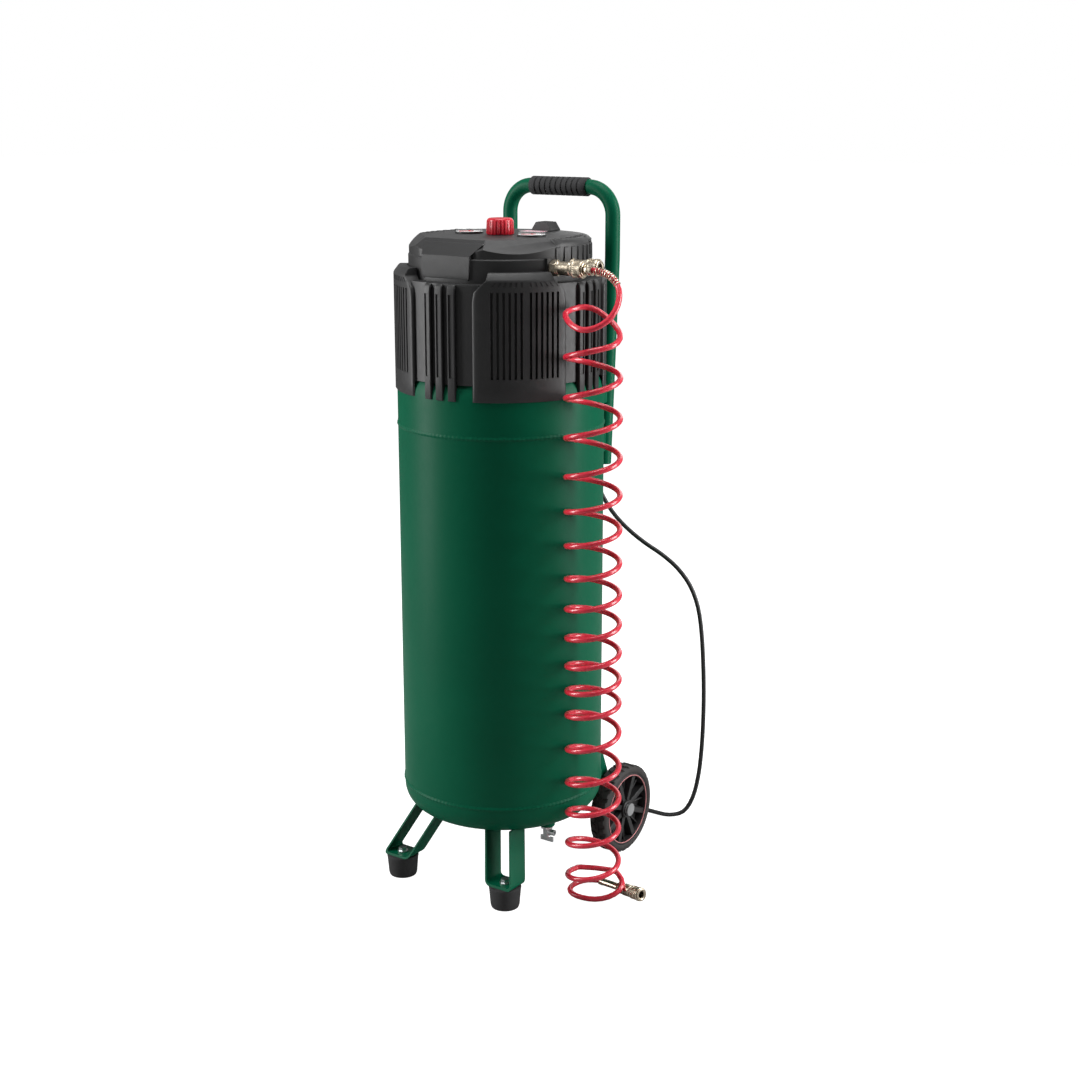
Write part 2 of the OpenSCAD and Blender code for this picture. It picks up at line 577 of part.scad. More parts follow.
module shroud() color("dimgray") placed() difference() {
  union() {
    rotate_extrude($fn = 128) polygon([[core_in, shroud_z + recess_up], [core_r, shroud_z + recess_up],
      [core_r, deck_z], [deck_hole, deck_z], [deck_hole, deck_z - wall], [core_in, deck_z - wall]]);
    corners() corner_panel();
    for (q = [0:3], k = [-1, 0, 1]) rotate(90 * q + rib_step * k) rib();
  }
  // the ribs clear the tank's knuckle
  translate([0, 0, shroud_z - 1]) cylinder(r = tank_r + 1.5, h = recess_up - 4, $fn = 128);
  // air windows behind the corner panels
  translate([0, 0, louvre_low + 4]) corners() arc(panel_half - 6) translate([core_in - 1, 0])
    square([wall + 2, louvre_high - louvre_low - 8]);
  // cooling slots
  corners() for (k = [0:louvre_n - 1]) rotate(louvre_step * (k - (louvre_n - 1) / 2))
    translate([-louvre_w / 2, -shroud_r - 2, louvre_low]) cube([louvre_w, wall + 4, louvre_high - louvre_low]);
  // pocket for the two air couplings
  translate([manifold_front - 5, -coupling_front - 15, outlet_z - 17]) cube([63, coupling_front + coupling_rear + 18, 60]);
  // hole for the lead's gland
  translate([lead_x, 120, lead_z]) along_y() cylinder(r = 7, h = 40);
}
// everything below a plane that rises away from the front edge
module below(edge_y, edge_z, slope) translate([0, edge_y, edge_z]) rotate([slope, 0, 0])
  translate([-deep, -deep, -2 * deep]) cube([2 * deep, 3 * deep, 2 * deep]);
module cover_body(inset) intersection() {
  translate([0, 0, deck_z]) rotate_extrude($fn = 128) polygon([[0, 0], [cover_r - inset, 0],
    [cover_r - inset, cover_h - 8 - inset], [cover_r - 8 - inset, cover_h - inset], [0, cover_h - inset]]);
  translate([-deep, -nose_y + inset, 0]) cube([2 * deep, 2 * deep, 2 * deep]);
  below(-nose_y + inset, cover_top - 19 - inset, 33);
  for (a = [-45, 45]) rotate(a) below(-cover_r + inset, cover_top - 22 - inset, 38);
}
screw_at = [[92, -78], [92, 84]];
module at_screws() for (p = screw_at) both() translate([p[0], p[1], 0]) children();
module top_cover() color("dimgray") placed() difference() {
  cover_body(0);
  difference() {
    translate([0, 0, -0.1]) cover_body(wall);
    // screw posts
    at_screws() translate([0, 0, deck_z]) cylinder(r = 6, h = cover_h);
  }
  cylinder(r = 6, h = 3 * deep);
  both() translate([gauge_x, 0, cover_top - 20]) cylinder(r = gauge_r - 3, h = 30);
  translate([switch_x, switch_y, cover_top - 20]) cylinder(r = 4.8, h = 30);
  translate([manifold_front - 24, -coupling_front - 14, outlet_z - 15]) cube([80, coupling_front + coupling_rear + 16, 30]);
  at_screws() translate([0, 0, deck_z - 2]) cylinder(r = 2.5, h = 90);
  at_screws() translate([0, 0, deck_z + 30]) cylinder(r = 4.7, h = 60);
}
module cover_screws() color("silver") placed() at_screws() translate([0, 0, deck_z + 30]) {
  cylinder(r = 4.4, h = 3.2);
  translate([0, 0, -26]) cylinder(r = 2.4, h = 26);
}
module rating_label() color("pink") placed() translate([-16, 58, cover_top]) cube([34, 20, 0.6]);

// ---- controls ----
module regulator_knob() color("crimson") placed() translate([0, 0, knob_z]) {
  difference() {
    rotate_extrude() polygon([[0, 0], [knob_r, 0], [knob_r, knob_h - 2.5], [knob_r - 2.5, knob_h], [0, knob_h]]);
    for (i = [0:19]) rotate(18 * i) translate([knob_r + 0.4, 0, -1]) cylinder(r = 1.5, h = knob_h - 3, $fn = 24);
  }
  translate([0, 0, -14]) cylinder(r = 4, h = 15);
}
module gauge_cases() color("black") placed() both() translate([gauge_x, 0, cover_top]) difference() {
  union() {
    cylinder(r = gauge_r, h = 6);
    translate([0, 0, -14]) cylinder(r = gauge_r - 3.3, h = 14);
  }
  translate([0, 0, 2]) cylinder(r = gauge_r - 1.5, h = 5);
}
module gauge_lenses() color("white") placed() both() translate([gauge_x, 0, cover_top + 4.6])
  cylinder(r = gauge_r - 1.5, h = 1.4);
module needle() { translate([0, 0, 2.3]) cylinder(r = 2, h = 1.2); rotate(135) translate([-0.5, -6, 2.5]) cube([1, 21, 0.8]); }
module gauge_needle_left() color("red") placed() translate([-gauge_x, 0, cover_top]) needle();
module gauge_needle_right() color("red") placed() translate([gauge_x, 0, cover_top]) needle();
module switch_button() color("black") placed() translate([switch_x, switch_y, cover_top + gap]) {
  rotate([90, 0, 0]) translate([0, 0, -14]) linear_extrude(28)
    polygon([[-26, 0], [26, 0], [15, 13], [-15, 13]]);
  translate([0, 0, 6 - cover_h]) cylinder(r = 4.2, h = cover_h - 6);
}

// ---- air couplings ----
module coupling_body() difference() {
  union() {
    along_x() cylinder(r = 5.9, h = 10);
    translate([10, 0, 0]) along_x() cylinder(r = 11, h = 10, $fn = 6);
    translate([20, 0, 0]) along_x() cylinder(r = 9.6, h = coupling_len - 42);
    translate([coupling_len - 22, 0, 0]) along_x() cylinder(r = 8.5, h = 22);
    translate([coupling_len - 2, 0, 0]) along_x() cylinder(r = 10, h = 2);
  }
  translate([-1, 0, 0]) along_x() cylinder(r = 3, h = coupling_len);
  translate([coupling_len - 22, 0, 0]) along_x() cylinder(r = socket_r, h = 24);
}
coupling_len = socket_face - manifold_front + 10;
module coupling_sleeve() translate([coupling_len - 18.5, 0, 0]) along_x() difference() {
  union() {
    tube(11.2, 16, 8.5 + fit);
    translate([0, 0, 11.5]) tube(12, 4.5, 8.5 + fit);
  }
  for (i = [0:11]) rotate(30 * i) translate([11.2, 0, -1]) cylinder(r = 0.8, h = 12, $fn = 16);
}
module at_front() translate([manifold_front - 10, -coupling_front, outlet_z]) children();
module at_rear() translate([manifold_front - 10, -coupling_rear, outlet_z]) children();
module coupling_front_body() color("tan") placed() at_front() coupling_body();
module coupling_rear_body() color("tan") placed() at_rear() coupling_body();
module coupling_sleeve_front() color("tan") placed() at_front() coupling_sleeve();
module coupling_sleeve_rear() color("tan") placed() at_rear() coupling_sleeve();

// ---- air hose ----
module hose_plug() color("tan") placed() at_front() translate([coupling_len - 20, 0, 0]) along_x() difference() {
  union() {
    cylinder(r = socket_r - 0.1, h = 20.5);
    translate([0, 0, 20.5]) cylinder(r = 7.5, h = 12);
  }
  translate([0, 0, -1]) cylinder(r = 2.5, h = 35);
}
module hose_lead() color("crimson") placed() sweep(concat([[socket_face + 12, -coupling_front, outlet_z],
  [socket_face + 24, -coupling_front, outlet_z - 1.5]], hose_lead_route), hose_r, 10);
module hose_coil() color("crimson") placed() {
  run = coil_high - coil_low;
  translate(coil_low) rotate([0, acos(run[2] / norm(run)), atan2(run[1], run[0])]) tube(coil_r + hose_r + 1, norm(run), coil_r - hose_r - 1);
}
module hose_tail() color("crimson") placed() sweep(hose_tail_route, hose_r, 10);
hose_end = hose_tail_route[len(hose_tail_route) - 1];
hose_aim = [37, -9, 4];
module at_hose_end() translate(hose_end) rotate([0, 0, atan2(hose_aim[1], hose_aim[0])])
  rotate([0, -atan2(hose_aim[2], norm([hose_aim[0], hose_aim[1]])), 0]) children();
module hose_end_body() color("tan") placed() at_hose_end() {
  difference() {
    union() {
      translate([38, 0, 0]) along_x() cylinder(r = 7.5, h = 12);
      translate([50, 0, 0]) along_x() cylinder(r = 9, h = 14);
      translate([64, 0, 0]) along_x() cylinder(r = 8, h = 22);
      translate([84, 0, 0]) along_x() cylinder(r = 9.3, h = 2);
    }
    translate([64, 0, 0]) along_x() cylinder(r = socket_r, h = 24);
    translate([37, 0, 0]) along_x() cylinder(r = 2.5, h = 40);
  }
  // bend guard over the end of the hose
  along_x() cylinder(r = 5.6, h = 38);
}
module hose_end_sleeve() color("tan") placed() at_hose_end() translate([67.5, 0, 0]) along_x() tube(10.3, 16, 8 + fit);

// ---- mains lead ----
module cord_gland() color("black") placed() translate([lead_x, 132, lead_z]) along_y() {
  cylinder(r = 6.9, h = 14);
  translate([0, 0, 14]) cylinder(r1 = 7, r2 = lead_r + 1, h = 26);
}
module power_cord() color("black") placed() sweep(cord_route, lead_r, 8);
module cord_coil() color("black") placed() translate([stow[0], stow[1], 0.1]) tube(stow_r + lead_r, stow_h, stow_r - lead_r);
module mains_plug() color("black") placed() translate([stow[0], stow[1], stow_h + 0.5]) {
  translate([-14, -18, 0]) cube([28, 36, 26]);
  for (s = [-1, 1]) translate([s * 9.5, 18, 13]) along_y() cylinder(r = 2.4, h = 19);
  translate([0, -42, 13]) along_y() cylinder(r1 = lead_r + 1, r2 = 8, h = 24);
}

tank_shell();
handle_tube();
handle_grip();
front_leg_left();
front_leg_right();
rubber_feet();
foot_bolts();
axle_brackets();
axle_bolts();
axle_nuts();
drain_valve();
drain_tap();
pump_platform();
rubber_mounts();
motor_housing();
motor_stator();
motor_rotor();
shaft_bearings();
cooling_fan();
crankcase();
barrel();  // cylinder
cylinder_head();
piston_rod();
intake_filter();
discharge_pipe();
check_valve();
pressure_switch();
start_capacitor();
regulator_body();
outlet_manifold();
safety_valve();
safety_ring();
shroud();
top_cover();
cover_screws();
rating_label();
regulator_knob();
gauge_cases();
gauge_lenses();
gauge_needle_left();
gauge_needle_right();
switch_button();
coupling_front_body();
coupling_rear_body();
coupling_sleeve_front();
coupling_sleeve_rear();
tyre_left();
hub_left();
tyre_right();
hub_right();
hose_plug();
hose_lead();
hose_coil();
hose_tail();
hose_end_body();
hose_end_sleeve();
cord_gland();
power_cord();
cord_coil();
mains_plug();
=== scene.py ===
"""An upright air compressor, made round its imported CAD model.

Sizes are in millimetres from the tank's axis and the floor, and become metres in the row frame
when a piece is made.
"""

import json
import math

import bmesh
import bpy
from mathutils import Matrix, Vector

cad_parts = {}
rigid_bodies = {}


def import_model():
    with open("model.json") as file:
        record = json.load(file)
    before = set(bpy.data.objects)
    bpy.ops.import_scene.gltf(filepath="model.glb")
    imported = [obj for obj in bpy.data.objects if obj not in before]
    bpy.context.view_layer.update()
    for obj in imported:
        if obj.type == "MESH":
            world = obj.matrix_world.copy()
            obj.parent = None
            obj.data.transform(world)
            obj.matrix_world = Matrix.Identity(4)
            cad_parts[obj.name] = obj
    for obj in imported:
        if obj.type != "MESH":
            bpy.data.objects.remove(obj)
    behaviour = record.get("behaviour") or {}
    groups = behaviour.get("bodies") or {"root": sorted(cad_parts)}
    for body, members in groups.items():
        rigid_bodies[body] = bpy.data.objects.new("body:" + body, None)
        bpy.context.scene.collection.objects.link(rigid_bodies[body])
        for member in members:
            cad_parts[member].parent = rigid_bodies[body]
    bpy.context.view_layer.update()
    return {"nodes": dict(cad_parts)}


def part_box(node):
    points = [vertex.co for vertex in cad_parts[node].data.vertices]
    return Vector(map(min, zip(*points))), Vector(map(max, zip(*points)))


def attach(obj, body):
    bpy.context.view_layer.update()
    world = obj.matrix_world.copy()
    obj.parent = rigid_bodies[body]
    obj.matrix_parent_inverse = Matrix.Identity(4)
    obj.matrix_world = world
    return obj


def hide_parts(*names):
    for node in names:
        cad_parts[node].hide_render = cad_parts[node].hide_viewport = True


bl_info = {
    "name": "Upright air compressor",
    "version": (1, 0, 0),
    "blender": (4, 5, 0),
    "location": "3D View > Sidebar > Compressor",
    "description": "Makes the pieces, finishes, camera and light of an upright air compressor",
    "category": "Object",
}

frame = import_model()
MM = 0.001
TANK_LOW, TANK_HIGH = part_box("tank_shell")
AXIS = ((TANK_LOW[0] + TANK_HIGH[0]) / 2, (TANK_LOW[1] + TANK_HIGH[1]) / 2)


def metres(point):
    """A point in millimetres from the tank's axis, in the row frame."""
    return Vector((AXIS[0] + point[0] * MM, AXIS[1] + point[1] * MM, point[2] * MM))


# ---- heights and radii that several pieces share ----
TANK_R = 150.0
LOWER_SEAM = 147.0
UPPER_SEAM = 694.0
HEAD_Z = 746.0
SKIRT_Z = 139.0
CROWN_R = 300.0
KNUCKLE_R = 36.0
SHROUD_R = 157.0
CORE_R = 147.0
DECK_Z = 905.0
COVER_R = 131.0
COVER_TOP = 962.0
OUTLET_Z = 925.0
SOCKET_FACE = 176.0
COUPLING_Y = {"front": -45.0, "rear": -8.0}
WHEEL_X, WHEEL_Y, WHEEL_R, WHEEL_W = 125.0, 141.5, 69.5, 30.0
FOOT_X, FOOT_Y, FOOT_H = 96.73, -127.44, 34.0
HANDLE_Y, HANDLE_TOP, HANDLE_HALF, HANDLE_BEND = 151.5, 1024.0, 92.5, 40.0


# ---- shapes ----
def turn(axis, degrees):
    return Matrix.Rotation(math.radians(degrees), 4, axis)


def shift(x, y, z):
    return Matrix.Translation((x, y, z))


ALONG_X = turn("Y", 90)
ALONG_Y = turn("X", -90)


def mirrored(matrix):
    return Matrix.Scale(-1, 4, (1, 0, 0)) @ matrix


def bend(centre, radius, first, last, steps=8):
    """Points along an arc in the plane of a profile."""
    span = [first + (last - first) * i / steps for i in range(steps + 1)]
    return [
        (
            centre[0] + radius * math.cos(math.radians(a)),
            centre[1] + radius * math.sin(math.radians(a)),
        )
        for a in span
    ]


def smooth_path(points, steps=6):
    """A finer line through the points, in smooth curves."""
    pts = [Vector(p) for p in points]
    pts = [2 * pts[0] - pts[1]] + pts + [2 * pts[-1] - pts[-2]]
    line = []
    for i in range(1, len(pts) - 2):
        a, b, c, d = pts[i - 1 : i + 3]
        for k in range(steps):
            t = k / steps
            line.append(
                0.5
                * (
                    2 * b
                    + (c - a) * t
                    + (2 * a - 5 * b + 4 * c - d) * t * t
                    + (3 * b - a - 3 * c + d) * t * t * t
                )
            )
    return line + [pts[-2]]


def length_of(line):
    return sum((b - a).length for a, b in zip(line, line[1:]))


def frames(line):
    """A direction across the line at each point, carried along without twist."""
    ahead = [
        (line[min(i + 1, len(line) - 1)] - line[max(i - 1, 0)]).normalized()
        for i in range(len(line))
    ]
    side = ahead[0].cross(Vector((1, 0, 0) if abs(ahead[0].z) > 0.9 else (0, 0, 1)))
    sides = []
    for t in ahead:
        side = (side - t * side.dot(t)).normalized()
        sides.append((side, t.cross(side)))
    return sides


class Shape:
    """Closed bodies of one piece, gathered before they are made an object."""

    def __init__(self):
        self.points, self.faces, self.paints = [], [], []

    def add(self, points, faces, at=None, paint=0):
        base = len(self.points)
        self.points += [(at @ Vector(p)) if at else Vector(p) for p in points]
        self.faces += [[base + i for i in f] for f in faces]
        self.paints += [paint] * len(faces)
        return self

    def lathe(self, profile, steps=96, at=None, paint=0):
        """Turns a profile of (radius, height) points round the z axis. It runs up the outside."""
        points, rows = [], []
        for r, z in profile:
            count = 1 if r < 1e-6 else steps
            rows.append([len(points) + i for i in range(count)])
            points += [
                (
                    r * math.cos(2 * math.pi * i / count),
                    r * math.sin(2 * math.pi * i / count),
                    z,
                )
                for i in range(count)
            ]
        pairs = list(zip(rows, rows[1:]))
        if len(rows[0]) > 1:
            pairs.append((rows[-1], rows[0]))
        faces = []
        for low, high in pairs:
            for i in range(steps):
                j = (i + 1) % steps
                if len(low) == 1 and len(high) == 1:
                    continue
                if len(low) == 1:
                    faces.append([low[0], high[j], high[i]])
                elif len(high) == 1:
                    faces.append([low[i], low[j], high[0]])
                else:
                    faces.append([low[i], low[j], high[j], high[i]])
        return self.add(points, faces, at, paint)

    def prism(self, outline, height, at=None, paint=0, top=None):
        """An outline raised along z, to the same outline or to another of as many points."""
        n = len(outline)
        points = [(x, y, 0) for x, y in outline]
        points += [(x, y, height) for x, y in (top or outline)]
        faces = [list(range(n))[::-1], list(range(n, 2 * n))]
        faces += [[i, (i + 1) % n, n + (i + 1) % n, n + i] for i in range(n)]
        return self.add(points, faces, at, paint)

    def block(self, low, high, at=None, paint=0):
        (x0, y0, z0), (x1, y1, z1) = low, high
        outline = [(x0, y0), (x1, y0), (x1, y1), (x0, y1)]
        place = (at or Matrix.Identity(4)) @ shift(0, 0, z0)
        return self.prism(outline, z1 - z0, place, paint)

    def sweep(self, line, radius, sides=12, at=None, paint=0):
        """A round body along a line. The radius is a number, or a function of the share of the line."""
        last = len(line) - 1
        size = radius if callable(radius) else (lambda share: radius)
        points, faces = [], []
        for i, (centre, (u, v)) in enumerate(zip(line, frames(line))):
            for k in range(sides):
                a = 2 * math.pi * k / sides
                points.append(
                    centre + (u * math.cos(a) + v * math.sin(a)) * size(i / last)
                )
        for i in range(last):
            for k in range(sides):
                j = (k + 1) % sides
                faces.append(
                    [
                        i * sides + k,
                        i * sides + j,
                        (i + 1) * sides + j,
                        (i + 1) * sides + k,
                    ]
                )
        faces.append(list(range(sides))[::-1])
        faces.append([last * sides + k for k in range(sides)])
        return self.add(points, faces, at, paint)

    def loft(self, rows, at=None, paint=0):
        """Skins rows of points, each a closed ring of the same count, and closes both ends."""
        n = len(rows[0])
        points = [p for row in rows for p in row]
        faces = [list(range(n))[::-1], [(len(rows) - 1) * n + k for k in range(n)]]
        for i in range(len(rows) - 1):
            for k in range(n):
                j = (k + 1) % n
                faces.append(
                    [i * n + k, i * n + j, (i + 1) * n + j, (i + 1) * n + k]
                )
        return self.add(points, faces, at, paint)

    def piece(self, name, finishes, body, slot, replaces=(), bevel=0.0, sharp=35):
        """Makes the gathered bodies one object that rides on a CAD body."""
        mesh = bpy.data.meshes.new(name)
        mesh.from_pydata([metres(p) for p in self.points], [], self.faces)
        for finish in finishes:
            mesh.materials.append(finish)
        mesh.polygons.foreach_set("material_index", self.paints)
        bm = bmesh.new()
        bm.from_mesh(mesh)
        bmesh.ops.recalc_face_normals(bm, faces=bm.faces)
        bm.to_mesh(mesh)
        bm.free()
        mesh.shade_smooth()
        mesh.set_sharp_from_angle(angle=math.radians(sharp))
        obj = bpy.data.objects.new(name, mesh)
        bpy.context.scene.collection.objects.link(obj)
        if bevel:
            edge = obj.modifiers.new("eased_edges", "BEVEL")
            edge.width, edge.segments = bevel * MM, 2
            edge.limit_method, edge.angle_limit = "ANGLE", math.radians(sharp)
            edge.use_clamp_overlap = True
            edge.harden_normals = False
        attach(obj, body)
        if replaces:
            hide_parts(*replaces)
        return obj


# ---- repeats ----
def repeat_tree():
    """A node tree that sets copies of a part at even turns round z and even rises along it."""
    tree = bpy.data.node_groups.new("copies_in_turn", "GeometryNodeTree")
    face = tree.interface
    face.new_socket("Geometry", in_out="INPUT", socket_type="NodeSocketGeometry")
    for title, kind, value in (
        ("Part", "NodeSocketObject", None),
        ("Count", "NodeSocketInt", 1),
        ("Step angle", "NodeSocketFloat", 0.0),
        ("First angle", "NodeSocketFloat", 0.0),
        ("Step", "NodeSocketVector", (0.0, 0.0, 0.0)),
        ("Finish", "NodeSocketMaterial", None),
    ):
        made = face.new_socket(title, in_out="INPUT", socket_type=kind)
        if value is not None:
            made.default_value = value
    face.new_socket("Geometry", in_out="OUTPUT", socket_type="NodeSocketGeometry")
    n, link = tree.nodes, tree.links.new
    given, out = n.new("NodeGroupInput"), n.new("NodeGroupOutput")
    row = n.new("GeometryNodeMeshLine")
    link(given.outputs["Count"], row.inputs["Count"])
    link(given.outputs["Step"], row.inputs["Offset"])
    place = n.new("GeometryNodeInputIndex")
    angle = n.new("ShaderNodeMath")
    angle.operation = "MULTIPLY_ADD"
    link(place.outputs[0], angle.inputs[0])
    link(given.outputs["Step angle"], angle.inputs[1])
    link(given.outputs["First angle"], angle.inputs[2])
    euler = n.new("ShaderNodeCombineXYZ")
    link(angle.outputs[0], euler.inputs["Z"])
    part = n.new("GeometryNodeObjectInfo")
    link(given.outputs["Part"], part.inputs["Object"])
    copies = n.new("GeometryNodeInstanceOnPoints")
    link(row.outputs["Mesh"], copies.inputs["Points"])
    link(part.outputs["Geometry"], copies.inputs["Instance"])
    link(euler.outputs[0], copies.inputs["Rotation"])
    real = n.new("GeometryNodeRealizeInstances")
    link(copies.outputs[0], real.inputs[0])
    paint = n.new("GeometryNodeSetMaterial")
    link(real.outputs[0], paint.inputs["Geometry"])
    link(given.outputs["Finish"], paint.inputs["Material"])
    link(paint.outputs[0], out.inputs[0])
    return tree


def copies(part, count, step_angle=0.0, first_angle=0.0, step=(0, 0, 0), finish=None):
    """The part, a Shape, repeated by the node tree: a new Shape."""
    tree = bpy.data.node_groups.get("copies_in_turn") or repeat_tree()
    scene = bpy.context.scene.collection.objects
    mesh = bpy.data.meshes.new("part")
    mesh.from_pydata(part.points, [], part.faces)
    one = bpy.data.objects.new("part", mesh)
    host = bpy.data.objects.new("copies", bpy.data.meshes.new("copies"))
    scene.link(one), scene.link(host)
    mod = host.modifiers.new("copies", "NODES")
    mod.node_group = tree
    keys = {
        s.name: s.identifier
        for s in tree.interface.items_tree
        if s.item_type == "SOCKET" and s.in_out == "INPUT"
    }
    mod[keys["Part"]] = one
    mod[keys["Count"]] = count
    mod[keys["Step angle"]] = math.radians(step_angle)
    mod[keys["First angle"]] = math.radians(first_angle)
    mod[keys["Step"]] = [float(v) for v in step]
    if finish:
        mod[keys["Finish"]] = finish
    host.data.update()
    graph = bpy.context.evaluated_depsgraph_get()
    graph.update()
    made = bpy.data.meshes.new_from_object(host.evaluated_get(graph))
    shape = Shape().add([v.co.copy() for v in made.vertices], [list(f.vertices) for f in made.polygons])
    for o in (host, one):
        bpy.data.objects.remove(o)
    bpy.data.meshes.remove(made)
    return shape


def join(target, source, at=None, paint=0):
    return target.add(source.points, source.faces, at, paint)


# ---- finishes ----
class Amount:
    """A number in a finish that varies over the surface, and takes part in sums."""

    def __init__(self, finish, socket):
        self.finish, self.socket = finish, socket

    def _sum(self, operation, first, second):
        node = self.finish.node(
            "ShaderNodeMath", {"operation": operation}, {0: first, 1: second}
        )
        return Amount(self.finish, node.outputs[0])

    def __add__(self, other):
        return self._sum("ADD", self, other)

    def __sub__(self, other):
        return self._sum("SUBTRACT", self, other)

    def __rsub__(self, other):
        return self._sum("SUBTRACT", other, self)

    def __mul__(self, other):
        return self._sum("MULTIPLY", self, other)

    def __pow__(self, other):
        return self._sum("POWER", self, other)

    def over(self, level):
        return self._sum("GREATER_THAN", self, level)

    __radd__, __rmul__ = __add__, __mul__


class Finish:
    """A material built from nodes on object coordinates."""

    def __init__(self, name):
        self.material = bpy.data.materials.new(name)
        self.material.use_nodes = True
        self.tree = self.material.node_tree
        self.tree.nodes.clear()

    def node(self, kind, settings=None, values=None):
        made = self.tree.nodes.new(kind)
        for key, value in (settings or {}).items():
            setattr(made, key, value)
        for key, value in (values or {}).items():
            if isinstance(value, Amount):
                value = value.socket
            if isinstance(value, bpy.types.NodeSocket):
                self.tree.links.new(value, made.inputs[key])
            else:
                made.inputs[key].default_value = value
        return made

    def place(self, stretch=(1, 1, 1)):
        spot = self.node("ShaderNodeTexCoord").outputs["Object"]
        return self.node(
            "ShaderNodeMapping", None, {"Vector": spot, "Scale": stretch}
        ).outputs[0]

    def noise(self, scale, detail=2.0, stretch=(1, 1, 1)):
        made = self.node(
            "ShaderNodeTexNoise",
            None,
            {"Vector": self.place(stretch), "Scale": scale, "Detail": detail},
        )
        return Amount(self, made.outputs["Fac"])

    def blend(self, share, first, second):
        made = self.node(
            "ShaderNodeMix",
            {"data_type": "RGBA"},
            {"Factor": share, 6: (*first, 1), 7: (*second, 1)},
        )
        return made.outputs[2]

    def bump(self, height, distance, strength=1.0):
        return self.node(
            "ShaderNodeBump",
            None,
            {"Height": height, "Distance": distance, "Strength": strength},
        ).outputs[0]

    def surface(self, **values):
        named = {key.replace("_", " "): value for key, value in values.items()}
        shader = self.node("ShaderNodeBsdfPrincipled", None, named)
        self.node(
            "ShaderNodeOutputMaterial", None, {"Surface": shader.outputs[0]}
        )
        return self.material


FINISHES = {}


def finish(name):
    """The named finish, made when a piece first asks for it."""
    if name not in FINISHES:
        FINISHES[name] = MAKERS[name](Finish(name))
    return FINISHES[name]


def shades(colour, low, high):
    return tuple(c * low for c in colour), tuple(c * high for c in colour)


def powder_coat(f):
    tone = f.noise(7, 3)
    peel = f.noise(330, 2)
    dark, light = shades(tuple(bpy.context.scene.compressor_tank.green), 0.88, 1.1)
    return f.surface(
        Base_Color=f.blend(tone, dark, light),
        Roughness=0.36 + 0.1 * f.noise(60, 3),
        Specular_IOR_Level=0.1,
        Normal=f.bump(peel, 0.00012, 0.5),
    )


def moulded_plastic(f):
    grain = f.noise(1500, 3)
    tone = f.noise(12, 3)
    dark, light = shades(tuple(bpy.context.scene.compressor_shroud.black), 0.8, 1.25)
    return f.surface(
        Base_Color=f.blend(tone, dark, light),
        Roughness=0.42 + 0.16 * f.noise(90, 3),
        Specular_IOR_Level=0.5,
        Normal=f.bump(grain, 0.00012, 0.6),
    )


# Near-black: the ink of the gauge ticks, and painted shade on the floors of the cover's screw pockets.
def black_ink_and_painted_shade(f):
    return f.surface(
        Base_Color=f.blend(f.noise(300, 2), (0.002, 0.002, 0.002), (0.006, 0.006, 0.006)),
        Roughness=0.7 + 0.1 * f.noise(200),
    )


def red_plastic(f):
    return f.surface(
        Base_Color=f.blend(f.noise(40, 3), (0.52, 0.004, 0.016), (0.66, 0.008, 0.03)),
        Roughness=0.3 + 0.12 * f.noise(160, 3),
        Coat_Weight=0.2,
        Normal=f.bump(f.noise(1200), 0.00005, 0.5),
    )


def hose_plastic(f):
    return f.surface(
        Base_Color=f.blend(f.noise(30, 3), (0.62, 0.012, 0.035), (0.78, 0.03, 0.065)),
        Roughness=0.22 + 0.12 * f.noise(90, 3),
        Coat_Weight=0.4,
        Coat_Roughness=0.06,
        Subsurface_Weight=0.12,
        Subsurface_Radius=(0.002, 0.0006, 0.0004),
        Normal=f.bump(f.noise(500), 0.00006, 0.5),
    )


def rubber(f):
    return f.surface(
        Base_Color=f.blend(f.noise(50, 4), (0.012, 0.012, 0.013), (0.026, 0.026, 0.027)),
        Roughness=0.66 + 0.16 * f.noise(220, 3),
        Normal=f.bump(f.noise(900, 3), 0.0002, 0.6),
    )


def tyre_rubber(f):
    return f.surface(
        Base_Color=f.blend(f.noise(45, 4), (0.014, 0.012, 0.012), (0.03, 0.026, 0.025)),
        Roughness=0.6 + 0.2 * f.noise(130, 3),
        Normal=f.bump(f.noise(700, 3), 0.0003, 0.7),
    )


def foam_grip(f):
    return f.surface(
        Base_Color=f.blend(f.noise(90, 3), (0.014, 0.014, 0.015), (0.028, 0.028, 0.03)),
        Roughness=0.75 + 0.12 * f.noise(300),
        Normal=f.bump(f.noise(1800, 2), 0.0002, 0.8),
    )


def metal(colour, roughness, scratch=0.12, bump=0.00004):
    def make(f):
        dark, light = shades(colour, 0.78, 1.12)
        brushed = f.noise(260, 3, (1, 1, 5))
        return f.surface(
            Base_Color=f.blend(f.noise(70, 4), dark, light),
            Metallic=1.0,
            Roughness=roughness + scratch * brushed,
            Normal=f.bump(f.noise(700, 3), bump, 0.5),
        )

    return make


def cast_metal(f):
    return f.surface(
        Base_Color=f.blend(f.noise(60, 4), (0.42, 0.43, 0.44), (0.62, 0.63, 0.64)),
        Metallic=0.9,
        Roughness=0.5 + 0.2 * f.noise(180, 3),
        Normal=f.bump(f.noise(900, 4), 0.0004, 0.7),
    )


def dial_white(f):
    return f.surface(
        Base_Color=f.blend(f.noise(60), (0.8, 0.8, 0.8), (0.9, 0.9, 0.89)),
        Roughness=0.4 + 0.1 * f.noise(120),
        Normal=f.bump(f.noise(400), 0.00003, 0.3),
    )


def clear_lens(f):
    return f.surface(
        Base_Color=(0.97, 0.98, 0.98, 1),
        Roughness=0.04 + 0.03 * f.noise(80),
        Alpha=0.06,
        IOR=1.45,
    )


